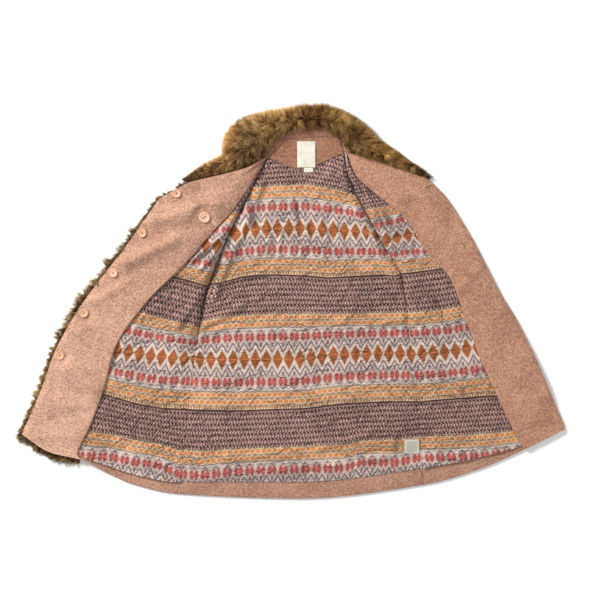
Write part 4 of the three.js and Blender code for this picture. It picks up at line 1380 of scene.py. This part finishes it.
def makeCollar():
    places = np.linspace(0, len(collarSections) - 1, collarLook["along"])
    under = collarRows(places, underCollarProfile, cloth["collarGap"])
    woolCloth("undercollar_wool", under, 0, "wool", "floor", "undercollar")

    standWidths = np.interp(places, np.arange(len(collarSections)), collarSections[:, 1])
    standPlaces = places[standWidths > collarLook["leastStand"]]
    stand = collarRows(standPlaces, standProfile, collarLook["standStart"])
    rise = np.linspace(0, collarLook["standRise"], stand.shape[1])[None, :]
    low = overWool + rise + unevenness(stand, height=0.6, wave=40, seed=17)
    # The stand's wool is darker as painted shade.
    woolCloth("collar_stand_wool", stand, low, "woolNeckPaintedShade", "undercollar_wool", "collar_stand", edge=0.9)

    rows = collarRows(places, furSkinProfile, cloth["collarGap"])
    xy, share = rows[..., :2], rows[..., 3]
    wave = unevenness(xy, height=4.0, wave=34, seed=19)
    z = overWool + rows[..., 2] + wave * np.sin(np.pi * share)
    tone, warm = furTones(xy, furZones)
    outward = rows[:, -1:, :2] - rows[:, :1, :2]
    outward = outward / np.linalg.norm(outward, axis=-1, keepdims=True)
    tangent = np.gradient(xy, axis=0)
    tangent = tangent / np.linalg.norm(tangent, axis=-1, keepdims=True)
    drift = np.tanh((xy[..., 0] - 25) / 26) * (0.75 - 0.55 * share)
    comb = np.dstack([outward * ((share - 0.36) * 1.7)[..., None] + tangent * drift[..., None],
                      np.full(share.shape, -0.12)])
    grid = np.dstack([xy, z])
    long = np.clip(rows[..., 4] / 20, 0.45, 1.1) * (1 - 0.55 * smoothStep(0.6, 1, share))
    long = long * (1 - 0.3 * smoothStep(0.25, 0, share))
    mesh = skinMesh("collar_skin", grid, comb, tone, warm, 1.0, long)
    growFur("collar", mesh, materials["collarFur"], collarLook, "fur_collar")


makeCollar()
print("collar ready")


placketLook = {
    "down": 240, "across": 14, "skin": 3.2, "paler": 0.16,
    "density": 860000, "length": 16, "hairWidth": 1.15, "lift": 0.22, "lean": 0.62, "lock": 1.1,
    "scatter": 0.2, "gather": 0.6, "lockSize": 135.0, "seed": 8,
}
placketZones = [
    [-300, 225, 30, 0.35, 0.3], [-340, 165, 30, 0.55, 0.3], [-380, 105, 34, 0.4, 0.25],
    [-420, 50, 30, 0.5, 0.35], [-455, 0, 30, 0.45, 0.3], [-490, -50, 26, 0.6, 0.35],
    [-520, -100, 30, 0.4, 0.3], [-545, -150, 30, 0.55, 0.4], [-565, -200, 26, 0.7, 0.6],
    [-585, -250, 26, 0.6, 0.45], [-610, -290, 24, 0.5, 0.3], [-560, -335, 26, 0.3, 0.2],
    [-520, -360, 22, 0.4, 0.35], [-490, -375, 22, 0.7, 0.7], [-470, -375, 18, 0.5, 0.6],
]


def makePlacket():
    down = np.linspace(0, cloth["hemEnd"], placketLook["down"])
    edge, near = layout([0], down)[:, 0], layout([0.1], down)[:, 0]
    out = edge - near
    out = out / np.linalg.norm(out, axis=1, keepdims=True)
    reachTable = np.array(placket["reach"], float)
    reach = smoothThrough(reachTable[:, 0], reachTable[:, 1], down)[:, None]
    base = underFront("right", [0], down, False)
    inner = placketInner(down)
    columns, z = [], []
    for share, high in ((0.55, 0.45), (0.3, 0.75), (0.0, 0.85)):  # past the front's edge
        columns.append(edge + out * reach * share)
        z.append(base[:, 0] + placket["pile"] * high)
    for step in np.linspace(0.06, 1, placketLook["across"]):  # under the front
        xy = np.array([layout([i * step], [d])[0, 0] for i, d in zip(inner, down)])
        columns.append(xy)
        lift = np.array([underFront("right", [i * step], [d], False)[0, 0] for i, d in zip(inner, down)])
        z.append(lift + placket["pile"] * 0.8)
    xy, z = np.stack(columns, 1), np.stack(z, 1)
    hem = xy[-1] + [-2, -placket["hemReach"] * 0.55]
    xy = np.concatenate([xy, [xy[-1] + [-1, -placket["hemReach"] * 0.3]], [hem]])
    z = np.concatenate([z, z[-1:] * 0.9, z[-1:] * 0.6])
    tone, warm = furTones(xy, placketZones)
    outward = np.concatenate([out, out[-1:], out[-1:]])[:, None, :] * np.ones_like(xy)
    downward = np.zeros_like(xy)
    downward[-3:] = [-0.2, -1.6]
    comb = np.dstack([outward * 0.9 + downward, np.full(z.shape, 0.05)])
    cover = np.zeros(z.shape)  # hair grows only where it shows
    cover[:, :3] = 1
    cover[-3:] = 1
    grid = np.dstack([xy, z])
    long = 0.45 + 0.75 * np.clip(unevenness(xy, height=2.0, wave=30, seed=23) - 0.5, 0, 1)
    long = long * (0.85 + 0.5 * np.exp(-((xy[..., 1] - 40) / 110) ** 2))
    mesh = skinMesh("placket_skin", grid, comb, tone + placketLook["paler"], warm, cover, long)
    growFur("placket", mesh, materials["placketFur"], placketLook, "fur_placket")


makePlacket()
print("placket ready")


# Buttons sit where the frame has them, each with its lean.
buttonLook = {"segments": 64, "thick": 3.4, "holeRadius": 1.7, "knot": 1.75}


def nodeFrame(node):  # the middle of its underside, the way it faces, and its radius
    corners = np.array([v.co for v in frame["nodes"][node].data.vertices])
    centre = corners.mean(0)
    _, _, axes = np.linalg.svd(corners - centre)
    normal = axes[2] if axes[2][2] > 0 else -axes[2]
    heights = (corners - centre) @ normal
    radius = np.max(np.linalg.norm(corners - centre - np.outer(heights, normal), axis=1))
    return centre + normal * np.min(heights), normal, radius


def makeButton(node, name, dish, turn, holes):  # holes are places across, in millimetres
    origin, normal, radius = nodeFrame(node)
    thick = buttonLook["thick"] * mm
    profile = [
        (0, 0.0), (0.74, 0.0), (0.9, 0.12), (1.0, 0.38), (1.0, 0.62), (0.96, 0.86), (0.88, 1.0),
        (0.78, 0.97), (0.70, 0.84), (0.62, dish + 0.06), (0.5, dish), (0.25, dish - 0.03),
        (0, dish - 0.04),
    ]
    work = bmesh.new()
    points = [work.verts.new((r * radius, 0, z * thick)) for r, z in profile]
    edges = [work.edges.new(pair) for pair in zip(points, points[1:])]
    bmesh.ops.spin(work, geom=points + edges, cent=(0, 0, 0), axis=(0, 0, 1), angle=math.tau,
                   steps=buttonLook["segments"], use_merge=True, use_duplicate=False)
    bmesh.ops.remove_doubles(work, verts=work.verts, dist=1e-6)
    bmesh.ops.recalc_face_normals(work, faces=work.faces)
    mesh = bpy.data.meshes.new(name)
    work.to_mesh(mesh)
    work.free()
    piece = addObject(name, mesh, materials["button" if len(holes) > 1 else "smallButton"])
    drills = []
    for x in holes:
        bpy.ops.mesh.primitive_cylinder_add(
            vertices=16, radius=buttonLook["holeRadius"] * mm, depth=thick * 4, location=(x * mm, 0, 0))
        drill = bpy.context.object
        drills.append(drill)
        cut = piece.modifiers.new("hole", "BOOLEAN")
        cut.object = drill
        cut.operation = "DIFFERENCE"
        cut.solver = "EXACT"
    applyModifiers(piece)
    for drill in drills:
        bpy.data.objects.remove(drill)
    lean = Vector((0, 0, 1)).rotation_difference(Vector(normal)).to_matrix().to_4x4()
    place = Matrix.Translation(Vector(origin)) @ lean @ Matrix.Rotation(turn, 4, "Z")
    piece.data.transform(place)
    finishPiece(piece, "button", node)
    for k, x in enumerate(holes):  # dark thread in each
        line = np.array([[x * mm, 0, thick * z] for z in (0.15, 0.3, dish * 0.9, dish + 0.04)])
        thread = tube(f"{name}_thread_{k}", line, buttonLook["knot"] * mm, materials["thread"])
        thread.data.transform(place)
        finishPiece(thread, "button")


def tube(name, line, radius, material, sides=8):
    rings = []
    for k, point in enumerate(line):
        ahead = line[min(k + 1, len(line) - 1)] - line[max(k - 1, 0)]
        ahead = Vector(ahead).normalized()
        across = ahead.cross(Vector((0, 0, 1)))
        across = across.normalized() if across.length > 1e-6 else Vector((1, 0, 0))
        up = across.cross(ahead)
        size = radius * (0.75 if k in (0, len(line) - 1) else 1)
        for a in np.linspace(0, math.tau, sides, endpoint=False):
            rings.append(Vector(point) + across * (math.cos(a) * size) + up * (math.sin(a) * size))
    faces = tubeQuads(len(line), sides).tolist()
    faces += [list(range(sides))[::-1], list(range(len(rings) - sides, len(rings)))]
    mesh = bpy.data.meshes.new(name)
    mesh.from_pydata([tuple(p) for p in rings], [], faces)
    faceOutwards(mesh)
    return addObject(name, mesh, material)


for count in range(1, 6):
    turned = 0.5 + 0.4 * count
    makeButton(f"backing_button_{count}", f"small_button_{count}", dish=0.5, turn=turned, holes=(0,))
makeButton("jigger_button", "inner_button", dish=0.55, turn=0.6, holes=(-2.5, 2.5))
print("buttons ready")


# Bare labels, a little curved, held by a few stitches.
labelLook = {"cells": 24, "thick": 0.5, "above": 0.15}


def makeLabel(node, name, curve, under):
    low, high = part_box(node)
    count = labelLook["cells"] + 1
    share = np.linspace(0, 1, count)
    xs, ys = np.linspace(low.x, high.x, count) / mm, np.linspace(low.y, high.y, count) / mm
    xy = np.dstack(np.meshgrid(xs, ys))
    bow = curve * np.sin(np.pi * share)[:, None] * (0.6 + 0.4 * np.sin(2.5 * share)[None, :])
    mesh = clothMesh(name, xy, low.z / mm + bow + labelLook["above"], labelLook["thick"])
    piece = addObject(name, mesh, materials["careLabel" if node == "care_label" else "label"])
    return finishCloth(piece, xy, "label", [under], node)


neckLabel = makeLabel("neck_label", "neck_label_satin", curve=1.6, under="neck_facing")
makeLabel("size_tab", "size_tab_satin", curve=0.5, under="neck_facing")
careLabel = makeLabel("care_label", "care_label_satin", curve=1.2, under="lining_left_front")
print("labels ready")

# Stitches: short threads set one after another along a line.
stitchLook = {  # gap, length and thickness of a stitch, and how far inside an edge it is
    "facing": (4.2, 2.8, 0.55), "facingInside": 3.2,
    "facingRows": {"right": (0.6, 10.6), "left": (0.4, 10.6)},
    "label": (3.6, 2.2, 0.9), "labelInside": (1.5, 1.6),
    "tack": (3.0, 3.2, 0.8), "tackInside": (1.2, 4.4),
    "step": 3, "above": 0.12,
}


def stitchTree():
    group, tree, given = geometryTree("stitches", {
        "Line": "Geometry", "Gap": "Float", "Long": "Float", "Thick": "Float", "Thread": "Material"})
    curve = tree.node("GeometryNodeMeshToCurve", None, {"Mesh": given["Line"]})
    points = tree.node("GeometryNodeCurveToPoints", {"mode": "LENGTH"}, {
        "Curve": curve, "Length": given["Gap"]})
    turn = tree.node("FunctionNodeAlignRotationToVector", {"axis": "Z"}, {
        "Vector": points.output("Tangent")})
    ball = tree.node("GeometryNodeMeshIcoSphere", None, {"Radius": 0.5, "Subdivisions": 2})
    size = tree.node("ShaderNodeCombineXYZ", None, {0: given["Thick"], 1: given["Thick"], 2: given["Long"]})
    made = tree.node("GeometryNodeInstanceOnPoints", None, {
        "Points": points, "Instance": ball, "Rotation": turn, "Scale": size})
    made = tree.node("GeometryNodeRealizeInstances", None, {"Geometry": made})
    return finishTree(group, tree.node("GeometryNodeSetMaterial", None, {
        "Geometry": made, "Material": given["Thread"]}))


stitchGroup = stitchTree()


def heightOn(piece, x, y):  # the top of a piece under a point, in metres
    hit, place, _, _ = piece.ray_cast(Vector((x * mm, y * mm, 0.2)), Vector((0, 0, -1)))
    return place.z if hit else None


def stitchLine(name, piece, points, slot, material, look):
    gap, long, thick = look
    steps = []
    for (x0, y0), (x1, y1) in zip(points, points[1:]):
        count = max(2, int(math.hypot(x1 - x0, y1 - y0) / stitchLook["step"]))
        steps += [(x0 + (x1 - x0) * k / count, y0 + (y1 - y0) * k / count) for k in range(count)]
    steps.append(points[-1])
    heights = [(x, y, heightOn(piece, x, y)) for x, y in steps]
    above = thick * mm * stitchLook["above"]
    line = [(x * mm, y * mm, z + above) for x, y, z in heights if z is not None]
    mesh = bpy.data.meshes.new(name)
    mesh.from_pydata(line, [(k, k + 1) for k in range(len(line) - 1)], [])
    source = addObject(name + "_line", mesh, None, False)
    made = grown(source, stitchGroup, {
        "Gap": gap * mm, "Long": long * mm, "Thick": thick * mm, "Thread": material}, name)
    bpy.data.objects.remove(source)
    finishPiece(made, slot)


def facingEdgeLine(side, inside, first, last):
    edge, facing, _ = sidePlaces(side)
    down = np.linspace(first, last, 60)
    seam, near = layout([facing], down)[:, 0], layout([facing + (edge - facing) * 0.1], down)[:, 0]
    inward = (near - seam) / np.linalg.norm(near - seam, axis=1, keepdims=True)
    return [tuple(p) for p in seam + inward * inside]


def makeStitching():
    look = stitchLook
    for side, rows in look["facingRows"].items():
        line = facingEdgeLine(side, look["facingInside"], *rows)
        stitchLine(f"{side}_facing_stitches", facings[side], line, "wool", materials["stitch"],
                   look["facing"])
    low, high = (np.array(corner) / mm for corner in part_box("neck_label"))
    inX, inY = look["labelInside"]
    line = [(low[0] + inX, high[1] - inY), (high[0] - inX, high[1] - inY)]
    stitchLine("label_stitches", neckLabel, line, "label", materials["labelThread"], look["label"])
    low, high = (np.array(corner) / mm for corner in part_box("care_label"))
    for k, (x, y) in enumerate([(0, 0), (1, 0), (1, 1), (0, 1)]):
        corner = np.array([(low, high)[x][0], (low, high)[y][1]])
        inward = np.array([1 - 2 * x, 1 - 2 * y])
        line = [tuple(corner + inward * step) for step in look["tackInside"]]
        stitchLine(f"care_label_tack_{k}", careLabel, line, "label", materials["labelThread"],
                   look["tack"])


makeStitching()


buttonholeLook = {"from": (302, 253), "to": (315, 260), "slit": 1.4, "sunk": 0.3, "rim": 0.8,
                  "apart": 1.7}


def makeButtonhole():
    look = buttonholeLook
    (x0, y0), (x1, y1) = look["from"], look["to"]
    length = math.hypot(x1 - x0, y1 - y0)
    side = np.array([-(y1 - y0), x1 - x0]) / length

    def along(shift, lift):
        points = []
        for t in np.linspace(0, 1, 12):
            x, y = x0 + (x1 - x0) * t + side[0] * shift, y0 + (y1 - y0) * t + side[1] * shift
            points.append((x * mm, y * mm, heightOn(facings["left"], x, y) + lift * mm))
        return np.array(points)

    parts = [
        ("slit", 0, -look["sunk"], look["slit"], "thread"),
        ("rim_a", look["apart"], 0.0, look["rim"], "stitch"),
        ("rim_b", -look["apart"], 0.0, look["rim"], "stitch"),
    ]
    for name, shift, lift, radius, material in parts:
        piece = tube("buttonhole_" + name, along(shift, lift), radius * mm, materials[material])
        finishPiece(piece, "wool")


makeButtonhole()
print("stitching ready")


floorLook = {"size": 12.0, "drop": 0.3, "light": (252, 252, 252), "dark": (250, 250, 250)}


def makeStage():
    half = floorLook["size"] / 2
    z = -floorLook["drop"] * mm
    mesh = bpy.data.meshes.new("floor")
    corners = [(-half, -half, z), (half, -half, z), (half, half, z), (-half, half, z)]
    mesh.from_pydata(corners, [], [(0, 1, 2, 3)])
    paper = plainMaterial("floorPaper", floorLook["light"], floorLook["dark"], {"Roughness": 0.9}, 30, 0.01)
    floor = addObject("floor", mesh, paper)


# The camera looks straight down, from where the photo was taken.
camera = {"x": 20.25, "y": 2.25, "height": 3750.0, "lens": 100.0, "farthest": 20}
worldLook = {"colour": (1, 1, 1, 1), "strength": 0.46}
lights = [
    {"name": "key", "at": (-2.7, 2.2, 2.5), "size": 1.3, "power": 225, "tint": (1.0, 0.985, 0.965)},
    {"name": "fill", "at": (2.4, -1.4, 3.4), "size": 3.0, "power": 40, "tint": (0.97, 0.985, 1.0)},
]


def makeLights():
    for look in lights:
        data = bpy.data.lights.new(look["name"], "AREA")
        data.shape = "DISK"
        data.size = look["size"]
        data.energy = look["power"]
        data.color = look["tint"]
        lamp = bpy.data.objects.new(look["name"], data)
        lamp.location = look["at"]
        lamp.rotation_euler = (-Vector(look["at"])).to_track_quat("-Z", "Y").to_euler()
        scene.collection.objects.link(lamp)
    world = bpy.data.worlds.new("studio")
    world.use_nodes = True
    background = world.node_tree.nodes["Background"]
    background.inputs["Color"].default_value = worldLook["colour"]
    background.inputs["Strength"].default_value = worldLook["strength"]
    scene.world = world


def makeCamera():
    data = bpy.data.cameras.new("above")
    data.lens = camera["lens"]
    data.clip_end = camera["farthest"]
    eye = bpy.data.objects.new("above", data)
    eye.location = (camera["x"] * mm, camera["y"] * mm, camera["height"] * mm)
    scene.collection.objects.link(eye)
    scene.camera = eye


makeStage()
makeLights()
makeCamera()
scene.view_settings.view_transform = "Standard"
scene.view_settings.look = "None"

for name, (size, area) in cutList.items():
    print("cut", name, size, area)
triangles = {}
for item in scene.objects:
    if item.type == "MESH" and item.name != "floor":
        item.data.calc_loop_triangles()
        triangles[item.name] = len(item.data.loop_triangles)
print("pieces", len(triangles), "triangles", sum(triangles.values()), "most", max(triangles.values()))
